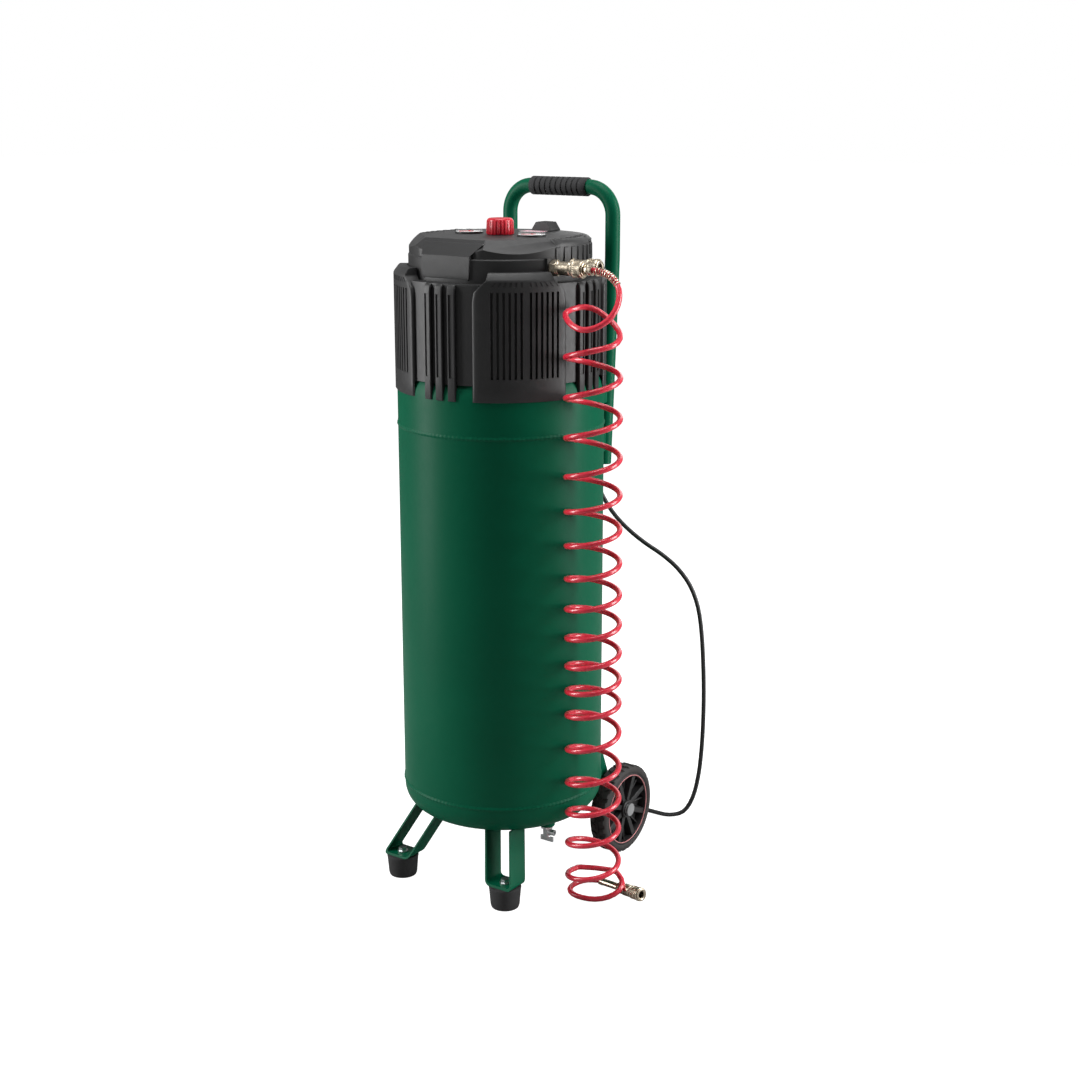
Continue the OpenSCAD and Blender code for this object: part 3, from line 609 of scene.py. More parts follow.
def label_print(f):
    """A small panel in two plain inks, with no lettering."""
    stripes = f.node(
        "ShaderNodeTexWave",
        {"wave_type": "BANDS", "bands_direction": "Y"},
        {"Vector": f.place(), "Scale": 55.0, "Distortion": 0.0},
    )
    share = Amount(f, stripes.outputs["Fac"]).over(0.5)
    return f.surface(
        Base_Color=f.blend(share, (0.82, 0.76, 0.78), (0.62, 0.09, 0.18)),
        Roughness=0.35 + 0.1 * f.noise(150),
    )


def ring_paint(f):
    return f.surface(
        Base_Color=f.blend(f.noise(90, 3), (0.5, 0.17, 0.18), (0.72, 0.3, 0.3)),
        Roughness=0.5 + 0.1 * f.noise(200),
    )


def lead_plastic(f):
    return f.surface(
        Base_Color=f.blend(f.noise(60, 3), (0.007, 0.007, 0.008), (0.016, 0.016, 0.017)),
        Roughness=0.4 + 0.15 * f.noise(200, 3),
        Normal=f.bump(f.noise(900), 0.00008, 0.5),
    )


MAKERS = {
    "powder_coat": powder_coat,
    "moulded_plastic": moulded_plastic,
    "black_ink_and_painted_shade": black_ink_and_painted_shade,
    "red_plastic": red_plastic,
    "hose_plastic": hose_plastic,
    "rubber": rubber,
    "tyre_rubber": tyre_rubber,
    "foam_grip": foam_grip,
    "nickel_brass": metal((0.62, 0.54, 0.42), 0.22),
    "brass": metal((0.72, 0.5, 0.2), 0.28),
    "zinc": metal((0.62, 0.63, 0.64), 0.28),
    "steel": metal((0.5, 0.5, 0.51), 0.3),
    "copper": metal((0.8, 0.38, 0.22), 0.25),
    "cast_metal": cast_metal,
    "dial_white": dial_white,
    "clear_lens": clear_lens,
    "label_print": label_print,
    "ring_paint": ring_paint,
    "lead_plastic": lead_plastic,
}


# ---- sizes and colours that a user may change ----
def size(name, description, default, low, high):
    return bpy.props.FloatProperty(
        name=name,
        description=description,
        default=default,
        min=low,
        max=high,
        unit="LENGTH",
        subtype="DISTANCE",
    )


def colour(name, description, default):
    return bpy.props.FloatVectorProperty(
        name=name,
        description=description,
        default=default,
        size=3,
        min=0.0,
        max=1.0,
        subtype="COLOR",
    )


class TankSettings(bpy.types.PropertyGroup):
    green: colour("Green", "Colour of the tank, legs and handle", (0.0006, 0.098, 0.047))
    weld: size("Weld bead", "Radius of the two weld beads", 0.0022, 0.001, 0.004)


class ShroudSettings(bpy.types.PropertyGroup):
    black: colour("Black", "Colour of the shroud and the cover", (0.012, 0.012, 0.0125))
    slot_depth: size("Slot depth", "Depth of the cooling slots", 0.008, 0.002, 0.009)
    slot_width: size("Slot width", "Width of a cooling slot", 0.0036, 0.002, 0.005)


class HoseSettings(bpy.types.PropertyGroup):
    diameter: size("Hose diameter", "Outside diameter of the air hose", 0.008, 0.006, 0.010)
    coil: size("Coil radius", "Mean radius of the hose's coil", 0.0374, 0.03, 0.04)


class LeadSettings(bpy.types.PropertyGroup):
    diameter: size("Lead diameter", "Outside diameter of the mains lead", 0.007, 0.006, 0.009)


class WheelSettings(bpy.types.PropertyGroup):
    lugs: bpy.props.IntProperty(
        name="Tread lugs", description="Number of lugs round a tyre", default=30, min=12, max=48
    )
    spokes: bpy.props.IntProperty(
        name="Spokes", description="Number of spokes in a hub", default=8, min=5, max=10
    )


class StageSettings(bpy.types.PropertyGroup):
    floor: colour("Floor", "Colour of the floor", (0.42, 0.42, 0.42))
    key: bpy.props.FloatProperty(
        name="Key light", description="Power of the light on the right", default=78.0, min=0.0, unit="POWER"
    )
    fill: bpy.props.FloatProperty(
        name="Fill light", description="Power of the light on the left", default=64.0, min=0.0, unit="POWER"
    )


SETTINGS = {
    "compressor_tank": TankSettings,
    "compressor_shroud": ShroudSettings,
    "compressor_hose": HoseSettings,
    "compressor_lead": LeadSettings,
    "compressor_wheel": WheelSettings,
    "compressor_stage": StageSettings,
}


# ---- stage ----
# what the floor adds where the camera sees it
GLOW = 1.02
# how strong the surroundings look in a gleam, over their plain strength
GLEAM, GLOOM = 0.3, 0.05
CAMERA_REACH = 2.4793
CAMERA_ROUND = math.radians(36.5)
CAMERA_HEIGHT = 1.1436
AIM_ROUND = math.radians(35.2065)
AIM_DOWN = math.radians(14.2209)
LENS = 57.44


def look_along(obj, ahead):
    obj.rotation_mode = "QUATERNION"
    obj.rotation_quaternion = ahead.to_track_quat("-Z", "Y")


def soft_light(name, place, power, wide, high):
    light = bpy.data.lights.new(name, "AREA")
    light.energy, light.shape, light.size, light.size_y = power, "RECTANGLE", wide, high
    obj = bpy.data.objects.new(name, light)
    obj.location = place
    look_along(obj, Vector((AXIS[0], AXIS[1], 0.5)) - Vector(place))
    bpy.context.scene.collection.objects.link(obj)
    return obj


class COMPRESSOR_OT_stage(bpy.types.Operator):
    """Sets the camera, the pale floor, the surroundings and the soft lights"""

    bl_idname = "compressor.stage"
    bl_label = "Stage"

    def execute(self, context):
        given = context.scene.compressor_stage
        cam = bpy.data.cameras.new("camera")
        cam.lens, cam.sensor_width = LENS, 36.0
        obj = bpy.data.objects.new("camera", cam)
        obj.location = (
            AXIS[0] + CAMERA_REACH * math.sin(CAMERA_ROUND),
            AXIS[1] - CAMERA_REACH * math.cos(CAMERA_ROUND),
            CAMERA_HEIGHT,
        )
        look_along(
            obj,
            Vector(
                (
                    -math.sin(AIM_ROUND) * math.cos(AIM_DOWN),
                    math.cos(AIM_ROUND) * math.cos(AIM_DOWN),
                    -math.sin(AIM_DOWN),
                )
            ),
        )
        context.scene.collection.objects.link(obj)
        context.scene.camera = obj

        pale = Finish("pale_floor")
        tone = tuple(given.floor)
        seen = Amount(pale, pale.node("ShaderNodeLightPath").outputs["Is Camera Ray"])
        pale.surface(
            Base_Color=pale.blend(pale.noise(3), *shades(tone, 0.985, 1.0)),
            Roughness=0.8 + 0.05 * pale.noise(20),
            Specular_IOR_Level=0.0,
            Emission_Color=pale.blend(seen, (0, 0, 0), (GLOW, GLOW, GLOW)),
            Emission_Strength=1.0,
        )
        mesh = bpy.data.meshes.new("floor")
        half = 30
        mesh.from_pydata(
            [(-half, -half, 0), (half, -half, 0), (half, half, 0), (-half, half, 0)],
            [],
            [(0, 1, 2, 3)],
        )
        mesh.materials.append(pale.material)
        floor = bpy.data.objects.new("floor", mesh)
        context.scene.collection.objects.link(floor)

        world = bpy.data.worlds.new("studio")
        world.use_nodes = True
        nodes, link = world.node_tree.nodes, world.node_tree.links.new
        nodes.clear()
        path = nodes.new("ShaderNodeLightPath")
        dim, plain = nodes.new("ShaderNodeBackground"), nodes.new("ShaderNodeBackground")
        dim.inputs["Color"].default_value = (1, 1, 1, 1)
        plain.inputs["Color"].default_value = (1, 1, 1, 1)
        plain.inputs["Strength"].default_value = 1.0
        mix, out = nodes.new("ShaderNodeMixShader"), nodes.new("ShaderNodeOutputWorld")
        gleam = nodes.new("ShaderNodeMath")
        gleam.operation = "MULTIPLY_ADD"
        link(path.outputs["Is Glossy Ray"], gleam.inputs[0])
        gleam.inputs[1].default_value, gleam.inputs[2].default_value = GLEAM, GLOOM
        link(gleam.outputs[0], dim.inputs["Strength"])
        link(path.outputs["Is Camera Ray"], mix.inputs[0])
        link(dim.outputs[0], mix.inputs[1])
        link(plain.outputs[0], mix.inputs[2])
        link(mix.outputs[0], out.inputs[0])
        context.scene.world = world
        context.scene.view_settings.view_transform = "Standard"

        soft_light("key", (2.15, 1.05, 1.2), given.key, 0.9, 2.4)
        soft_light("fill", (-1.85, -1.5, 1.1), given.fill, 0.7, 2.4)
        soft_light("top", (0.1, -0.15, 2.9), 38, 1.4, 1.4)
        soft_light("back", (-0.6, 2.4, 1.6), 14, 1.6, 1.6)
        return {"FINISHED"}


# ---- air hose ----
HOSE_LEAD = [
    (180, -45, 925), (192, -45, 924.8), (204, -45.2, 923), (215.5, -46, 919.4), (226, -48, 912.5),
    (234.5, -52, 902.5), (239.5, -59.3, 890), (240, -69, 876.5), (234.5, -80, 863.5), (221, -90, 854),
    (204, -94, 851), (186, -90, 855), (172, -82, 861),
]
# across and towards the viewer's side, for the first loop and the coil's axis
ACROSS = Vector((0.817, 0.5765, 0))
TOWARDS = Vector((0.5765, -0.817, 0))
HOSE_LOOP = [
    (91, 147, 867), (100, 131, 871), (118, 119, 873), (135, 119, 868), (152, 127, 856),
    (163, 143, 844), (164.4, 161, 835), (153.5, 181.5, 827.6),
]
# height of each turn's near left side, from the top
TURNS = [
    863.5, 809, 752.5, 697, 642, 592, 543, 495, 450.5, 407.5, 365.5, 327.5, 291, 238.5, 187,
    140, 92, 40.5,
]
COIL_TOP, COIL_FOOT = (128, 155, 870), (135, 138, 30)
HOSE_TAIL = [
    (196, 5, 33.5), (211, 4, 28.5), (222, -5, 23), (224.5, -18, 16.5), (215, -32, 9.5), (198, -42, 5.2),
    (179, -47, 4.6), (161, -45, 4.6), (148, -34, 4.6), (144, -17, 4.6), (149, 0, 5.2),
    (161, 9, 6.2), (176, 11, 7),
]
HOSE_AIM = Vector((37, -9, 4)).normalized()


def coil_height(turn_at):
    """Height of the hose after so many turns, smooth through the list."""
    i = min(max(int(turn_at), 0), len(TURNS) - 2)
    a, b = TURNS[max(i - 1, 0)], TURNS[i]
    c, d = TURNS[i + 1], TURNS[min(i + 2, len(TURNS) - 1)]
    if i == 0:
        a = 2 * b - c
    if i == len(TURNS) - 2:
        d = c - 12
    t = turn_at - i
    return 0.5 * (
        2 * b + (c - a) * t + (2 * a - 5 * b + 4 * c - d) * t * t
        + (3 * b - a - 3 * c + d) * t * t * t
    )


def hose_line(coil_r):
    seen = lambda across, towards, z: ACROSS * across + TOWARDS * towards + Vector((0, 0, z))
    line = [Vector(p) for p in HOSE_LEAD] + [seen(*p) for p in HOSE_LOOP]
    first, last, per_turn = 0.76, 17.2, 24
    for k in range(int((last - first) * per_turn) + 1):
        t = first + k / per_turn
        z = coil_height(t)
        share = (COIL_TOP[2] - z) / (COIL_TOP[2] - COIL_FOOT[2])
        across = COIL_TOP[0] + (COIL_FOOT[0] - COIL_TOP[0]) * share
        towards = COIL_TOP[1] + (COIL_FOOT[1] - COIL_TOP[1]) * share
        a = 2 * math.pi * t
        line.append(seen(across - coil_r * math.cos(a), towards - coil_r * math.sin(a), z))
    line += [Vector(p) for p in HOSE_TAIL]
    line.append(Vector(HOSE_TAIL[-1]) + HOSE_AIM * 40)
    return smooth_path(line, 2)


def spring_guard(line, radius, turns, wire=0.8):
    """A close wire spring wound round the line."""
    across = frames(line)
    total = len(line) - 1
    steps = turns * 14
    wound = []
    for k in range(steps + 1):
        at = total * k / steps
        i = min(int(at), total - 1)
        centre = line[i].lerp(line[i + 1], at - i)
        u, v = across[i]
        a = 2 * math.pi * turns * k / steps
        wound.append(centre + (u * math.cos(a) + v * math.sin(a)) * radius)
    return Shape().sweep(wound, wire, 6)


def hose_end_frame():
    return shift(*HOSE_TAIL[-1]) @ HOSE_AIM.to_track_quat("X", "Z").to_matrix().to_4x4()


def stretch_of(line, start, end):
    """The part of the line between two distances along it."""
    kept, gone = [], 0.0
    for a, b in zip(line, line[1:]):
        if start <= gone <= end:
            kept.append(a)
        gone += (b - a).length
    return kept


class COMPRESSOR_OT_air_hose(bpy.types.Operator):
    """Makes the coiled air hose, its spring guards, its plug and its end coupling"""

    bl_idname = "compressor.air_hose"
    bl_label = "Air hose"

    def execute(self, context):
        given = context.scene.compressor_hose
        line = hose_line(given.coil / MM)
        radius = given.diameter / MM / 2
        hose = Shape().sweep(line, radius, 12)
        hose = hose.piece(
            "air_hose", [finish("hose_plastic")], "tank", "red_hose",
            ("hose_lead", "hose_coil", "hose_tail"),
        )
        whole = length_of(line)
        fine = smooth_path(line, 3)
        first = spring_guard(stretch_of(fine, 12, 56), radius + 0.7, 11)
        last = spring_guard(stretch_of(fine, whole - 40, whole - 1), radius + 0.7, 13)
        guards = join(first, last).piece(
            "hose_springs", [finish("nickel_brass")], "tank", "nickel_brass"
        )
        plug = Shape().lathe(
            [(0, 0), (5, 0), (5, 20.4), (7.2, 20.6), (7.5, 21.2), (7.5, 26), (6.6, 26.6), (6.6, 29),
             (7.5, 29.6), (7.5, 31.4), (6.4, 32.4), (4.2, 32.4), (4.2, 31.6), (0, 31.6)],
            48,
            shift(SOCKET_FACE - 20, COUPLING_Y["front"], OUTLET_Z) @ ALONG_X,
        ).piece("hose_plug_turned", [finish("nickel_brass")], "tank", "nickel_brass", ("hose_plug",))
        at = hose_end_frame() @ ALONG_X
        end = Shape().lathe(
            [(5.2, 0), (5.6, 0.5), (5.6, 3), (5.2, 3.4), (5.2, 37), (7.2, 38), (7.5, 38.6),
             (7.5, 49), (8.0, 50)] + [(9, 50.6), (9, 63), (8.6, 64), (8, 64.4), (8, 83.6),
             (9.1, 84), (9.3, 84.4), (9.3, 85.6), (8.9, 86), (6.6, 86), (5.1, 84.6), (5.1, 60), (4.2, 60),
             (4.2, 0)],
            48, at,
        )
        end.prism([(9.6 * math.cos(a), 9.6 * math.sin(a)) for a in [math.pi / 3 * i for i in range(6)]],
                  11, at @ shift(0, 0, 38.8))
        end = end.piece(
            "end_coupling", [finish("nickel_brass")], "tank", "nickel_brass", ("hose_end_body",), 0.25
        )
        sleeve = coupling_sleeve(10.3, 16, 8.2).placed(at @ shift(0, 0, 67.5))
        sleeve = sleeve.piece(
            "end_coupling_sleeve", [finish("nickel_brass")], "end_sleeve", "nickel_brass",
            ("hose_end_sleeve",), 0.2,
        )
        metres(HOSE_LEAD[0])
        [metres(p) for p in line]
        return {"FINISHED"}


def coupling_sleeve(outer, long, inner):
    """A knurled sliding sleeve with a stop ring, along z."""
    sleeve = Shape().lathe(
        [(inner, 0), (outer - 0.8, 0), (outer - 0.3, 0.4), (outer - 0.3, 2), (outer - 0.9, 2.6),
         (outer - 0.9, long - 6), (outer - 0.3, long - 5.4), (outer - 0.3, long - 4.4),
         (outer, long - 4), (outer, long - 0.6), (outer - 0.6, long), (inner, long)],
        60,
    )
    knurl = Shape().prism(
        [(outer - 1.4, -0.55), (outer - 0.5, -0.3), (outer - 0.5, 0.3), (outer - 1.4, 0.55)],
        long - 9, shift(0, 0, 2.8),
    )
    return Placed(join(sleeve, copies(knurl, 30, 12)))


class Placed:
    """A shape that can be set down with a matrix."""

    def __init__(self, shape):
        self.shape = shape

    def placed(self, at):
        return Shape().add(self.shape.points, self.shape.faces, at)


# ---- mains lead ----
LEAD_ROUTE = [
    (-56, 172, 790), (-55, 190, 783), (-50, 208, 762), (-42, 221, 728), (-32, 230, 686),
    (-19, 236, 636), (-4, 240, 588), (14, 243, 548), (36, 245, 516), (64, 246, 492),
    (96, 247, 473), (128, 248, 458), (156, 249, 440), (178, 251, 415), (192, 253, 382),
    (198, 256, 340), (200, 260, 290), (200, 264, 240), (198, 268, 190), (194, 272, 140),
    (187, 276, 92), (175, 280, 50), (156, 284, 20), (128, 287, 6), (98, 288, 3.6),
    (62, 288, 3.6), (24, 287, 3.6), (-16, 286, 3.6), (-56, 288, 3.6), (-90, 293, 3.6),
    (-118, 301, 3.6), (-140, 305.5, 3.6),
]
STOW, STOW_R = (-158, 268), 38.5
LEAD_TAIL = [
    (-173, 304, 17.6), (-190, 297, 15), (-204, 283, 11), (-212, 263, 7.5), (-215, 243, 5),
    (-214, 224, 3.9), (-206, 206, 3.7), (-187, 197, 4.6), (-168, 204, 11), (-160, 216, 21),
    (-158, 227, 30.5), (-158, 238, 34.6), (-158, 246, 34.9),
]


class COMPRESSOR_OT_mains_lead(bpy.types.Operator):
    """Makes the mains lead, its strain relief and its plug"""

    bl_idname = "compressor.mains_lead"
    bl_label = "Mains lead"

    def execute(self, context):
        given = context.scene.compressor_lead
        line = [Vector(p) for p in LEAD_ROUTE]
        turns, per_turn = 2, 20
        for k in range(turns * per_turn + 1):
            a = math.radians(92) + 2 * math.pi * k / per_turn
            line.append(
                Vector(
                    (
                        STOW[0] + STOW_R * math.cos(a),
                        STOW[1] + STOW_R * math.sin(a),
                        3.6 + 14.2 * k / (turns * per_turn),
                    )
                )
            )
        line += [Vector(p) for p in LEAD_TAIL]
        line = smooth_path(line, 3)
        lead = Shape().sweep(line, given.diameter / MM / 2, 12).piece(
            "mains_lead", [finish("lead_plastic")], "tank", "lead_black", ("power_cord", "cord_coil")
        )
        relief = [(0, 0), (6.9, 0), (8.4, 14), (8.4, 17), (7, 18)]
        for i in range(5):
            r = 6.9 - 0.42 * i
            z = 19 + i * 4.2
            relief += [(r - 1.1, z), (r - 1.1, z + 1.6), (r, z + 1.9), (r - 0.1, z + 3.9)]
        relief += [(4.4, 40), (0, 40)]
        Shape().lathe(relief, 40, shift(-56, 132, 790) @ ALONG_Y).piece(
            "lead_gland", [finish("rubber")], "tank", "black_rubber", ("cord_gland",)
        )
        at = shift(STOW[0], STOW[1], 21.9)
        plug = Shape()
        outline = bend((8, 12), 6, 0, 90) + bend((-8, 12), 6, 90, 180)
        outline += bend((-11, -15), 3, 180, 270) + bend((11, -15), 3, 270, 360)
        narrow = [(x * 0.88, y * 0.92) for x, y in outline]
        plug.prism(narrow, 5, at, top=outline).prism(outline, 16, at @ shift(0, 0, 5))
        plug.prism(outline, 5, at @ shift(0, 0, 21), top=narrow)
        tail = [(0, 0), (5.1, 0)]
        for i in range(5):
            r = 5.4 + 0.5 * i
            tail += [(r, 1 + i * 4.2), (r, 3 + i * 4.2), (r - 0.9, 3.3 + i * 4.2), (r - 0.9, 4.8 + i * 4.2)]
        tail += [(8, 24), (0, 26)]
        plug.lathe(tail, 32, at @ shift(0, -42, 13) @ ALONG_Y)
        for side in (-1, 1):
            plug.lathe(
                [(0, 0), (2.4, 0), (2.4, 18.4), (1.8, 19), (0, 19)], 24,
                at @ shift(side * 9.5, 18, 13) @ ALONG_Y, paint=1,
            )
        plug = plug.piece(
            "mains_plug_moulded", [finish("lead_plastic"), finish("nickel_brass")], "tank",
            "lead_black", ("mains_plug",), 0.8,
        )
        metres(LEAD_ROUTE[0])
        round(length_of(line) * MM, 2)
        [metres(p) for p in line]
        return {"FINISHED"}


# ---- tank, handle, feet ----
def head_profile(sign):
    """The outside of a domed head from its pole to the wall, in (radius, height above the rim)."""
    depth = CROWN_R - math.sqrt((CROWN_R - KNUCKLE_R) ** 2 - (TANK_R - KNUCKLE_R) ** 2)
    edge = math.degrees(math.asin((TANK_R - KNUCKLE_R) / (CROWN_R - KNUCKLE_R)))
    dome = bend((0, depth - CROWN_R), CROWN_R, 90, 90 - edge, 14)
    rim = bend((TANK_R - KNUCKLE_R, 0), KNUCKLE_R, 90 - edge, 0, 12)
    return [(r, sign * z) for r, z in dome + rim[1:]]


def weld_bead(z, radius, height):
    """A laid bead round the tank, with the small ripples of a machine weld."""
    steps, sides = 720, 6
    rows = []
    for i in range(steps):
        a = 2 * math.pi * i / steps
        swell = 1 + 0.1 * math.sin(i * 2 * math.pi / 5) + 0.05 * math.sin(i * 0.37)
        ring = []
        for k in range(sides):
            b = 2 * math.pi * k / sides
            r = radius - 0.9 + height * swell * math.cos(b)
            ring.append(
                (r * math.cos(a), r * math.sin(a), z + 1.6 * height * math.sin(b))
            )
        rows.append(ring)
    points = [p for ring in rows for p in ring]
    faces = []
    for i in range(steps):
        for k in range(sides):
            j, m = (i + 1) % steps, (k + 1) % sides
            faces.append([i * sides + k, j * sides + k, j * sides + m, i * sides + m])
    return points, faces


class COMPRESSOR_OT_tank(bpy.types.Operator):
    """Makes the welded tank with its two domed heads and its bosses"""

    bl_idname = "compressor.tank"
    bl_label = "Tank"

    def execute(self, context):
        low = [(r, SKIRT_Z + z) for r, z in head_profile(-1)]
        high = [(r, HEAD_Z + z) for r, z in head_profile(1)][::-1]
        wall = [(TANK_R, z) for z in (LOWER_SEAM, 280, 420, 560, UPPER_SEAM - 3)]
        joggle = [(TANK_R + 0.25, UPPER_SEAM), (TANK_R + 0.25, UPPER_SEAM + 4), (TANK_R, UPPER_SEAM + 8)]
        tank = Shape().lathe(low + wall + joggle + high, 160)
        bead = context.scene.compressor_tank.weld / MM
        for z in (LOWER_SEAM, UPPER_SEAM):
            tank.add(*weld_bead(z, TANK_R, bead))
        tank.lathe([(0, 79), (11.2, 79), (12, 80), (12, 100), (15, 107), (0, 107)], 40, shift(82.5, 0, 0))
        tank.lathe([(0, 770), (15, 778), (13, 784), (13, 803), (12, 804), (0, 804)], 40, shift(70, 63, 0))
        tank.piece("tank", [finish("powder_coat")], "tank", "green_paint", ("tank_shell",))
        return {"FINISHED"}


def handle_line():
    """The handle's line: up one leg, over the bar and down the other."""
    lean, turn_r, low = math.radians(3.4), 150.0, 300.0
    leg = []
    for s in (low, 200, 100, 20, 0):
        leg.append((
            HANDLE_HALF,
            HANDLE_Y - turn_r + turn_r * math.cos(lean) - s * math.sin(lean),
            927 - turn_r * math.sin(lean) - s * math.cos(lean),
        ))
    for k in (2, 1, 0):
        a = lean * k / 3
        leg.append((HANDLE_HALF, HANDLE_Y - turn_r + turn_r * math.cos(a), 927 - turn_r * math.sin(a)))
    arc = bend((HANDLE_HALF - HANDLE_BEND, HANDLE_TOP - HANDLE_BEND), HANDLE_BEND, 0, 90, 14)
    right = leg + [(x, HANDLE_Y, z) for x, z in arc]
    left = [(-x, y, z) for x, y, z in right][::-1]
    return [Vector(p) for p in right + [(0, HANDLE_Y, HANDLE_TOP)] + left]


class COMPRESSOR_OT_handle(bpy.types.Operator):
    """Makes the bent tube handle, its weld saddles and its ribbed grip"""

    bl_idname = "compressor.handle"
    bl_label = "Handle"

    def execute(self, context):
        tube = Shape().sweep(handle_line(), 11, 32)
        for side in (-1, 1):
            for z in (UPPER_SEAM - 55, UPPER_SEAM + 18):
                tube.block((side * HANDLE_HALF - 7, 113, z), (side * HANDLE_HALF + 7, 131, z + 28))
        tube.piece("handle", [finish("powder_coat")], "tank", "green_paint", ("handle_tube",), 1.2, 50)
        half, r = 50.0, 13.8
        profile = [(11.05, -half), (r - 1.2, -half), (r, -half + 1.4)]
        for i in range(-4, 5):
            z = i * 9.5
            profile += [(r, z - 1.9), (r - 1.3, z - 1.1), (r - 1.3, z + 1.1), (r, z + 1.9)]
        profile += [(r, half - 1.4), (r - 1.2, half), (11.05, half)]
        grip = Shape().lathe(profile, 48, shift(0, HANDLE_Y, HANDLE_TOP) @ ALONG_X)
        grip.piece("grip", [finish("foam_grip")], "tank", "black_rubber", ("handle_grip",), sharp=50)
        return {"FINISHED"}


LEG_W, LEG_T, LEG_GAP = 36.0, 3.0, 41.0
LEG_LEAN = (23.6 / 57, 32 / 57)


def leg_strip():
    """A flat strip bent to a base tab and two cheeks that lean to the lower head."""
    rise, half = 73, LEG_GAP / 2 + LEG_T
    outer, inner = [], []
    corner = 7.0
    for side in (1, -1):
        top = (side * (LEG_GAP / 2 + LEG_T), rise)
        arc = bend((half - corner, corner), corner, 0, -90, 6)
        arc = arc if side == 1 else [(-x, z) for x, z in arc][::-1]
        outer += [top] + arc if side == 1 else arc + [top]
    for x, z in outer:
        if z > corner:
            inner.append((math.copysign(abs(x) - LEG_T, x), max(z, LEG_T)))
        else:
            inner.append((x * (half - LEG_T) / half, LEG_T + z * (corner - LEG_T) / corner))
    points, faces = [], []
    for y in (-LEG_W / 2, LEG_W / 2):
        for line in (outer, inner):
            points += [(x, y, z) for x, z in line]
    n = len(outer)
    for i in range(n - 1):
        a, b, c, d = i, n + i, 2 * n + i, 3 * n + i
        faces += [[a, a + 1, b + 1, b], [c, d, d + 1, c + 1], [a, c, c + 1, a + 1], [b, b + 1, d + 1, d]]
    faces += [[0, n, 3 * n, 2 * n], [n - 1, 3 * n - 1, 4 * n - 1, 2 * n - 1]]
    leaned = []
    for x, y, z in points:
        leaned.append((x - LEG_LEAN[0] * z, y + LEG_LEAN[1] * z, FOOT_H + z))
    return leaned, faces


class COMPRESSOR_OT_feet(bpy.types.Operator):
    """Makes the two bent legs and their rubber feet"""

    bl_idname = "compressor.feet"
    bl_label = "Feet"

    def execute(self, context):
        points, faces = leg_strip()
        for name, node, side in (("leg_right", "front_leg_right", 1), ("leg_left", "front_leg_left", -1)):
            leg = Shape().add(points, faces, shift(FOOT_X, FOOT_Y, 0))
            washer = [(0, FOOT_H + 2.9), (9, FOOT_H + 2.9), (9, FOOT_H + 3.1), (0, FOOT_H + 3.1)]
            leg.lathe(washer, 32, shift(FOOT_X, FOOT_Y, 0))
            if side < 0:
                leg = Shape().add(leg.points, leg.faces, mirrored(Matrix.Identity(4)))
            leg.piece(name, [finish("powder_coat")], "tank", "green_paint", (node,), 0.7, 40)
        foot = [
            (0, 0), (17.5, 0), (20, 1), (20.9, 3), (21.5, 6), (23.4, 28), (24, 31.5), (23.6, 33.4),
            (22.5, FOOT_H - 0.2), (0, FOOT_H - 0.2),
        ]
        feet = Shape()
        for side in (-1, 1):
            feet.lathe(foot, 72, shift(side * FOOT_X, FOOT_Y, 0))
        feet.piece("feet", [finish("rubber")], "tank", "black_rubber", ("rubber_feet",))
        return {"FINISHED"}


# ---- wheels ----
def tyre(lugs):
    r, w = WHEEL_R, WHEEL_W
    body = Shape().lathe(
        [(57.2, 1.2), (58, 0.6), (62, 0), (65, 0.6), (67, 2.2), (67.6, 4.5), (67.6, w - 4.5),
         (67, w - 2.2), (65, w - 0.6), (62, w), (58, w - 0.6), (57.2, w - 1.2)], 120,
    )
    half = math.pi / lugs * 0.66
    rows = []
    for z, size in ((1.6, 66.4), (3.4, 68.9), (6, r), (11.5, r)):
        lean = (z - 1.6) * 0.006
        rows.append([
            (66 * math.cos(a + lean), 66 * math.sin(a + lean), z) for a in (-half, half)
        ] + [
            (size * math.cos(a + lean), size * math.sin(a + lean), z) for a in (half * 0.8, -half * 0.8)
        ])
    lug = Shape().loft(rows)
    other_side = shift(0, 0, w) @ turn("Z", 180 / lugs) @ Matrix.Scale(-1, 4, (0, 0, 1))
    lug.add(lug.points[:], lug.faces[:], other_side)
    join(body, copies(lug, lugs, 360 / lugs))
    for z in (13.2, 15.4):
        body.lathe([(66, z), (r - 0.5, z), (r - 0.5, z + 1.4), (66, z + 1.4)], 120)
    return body


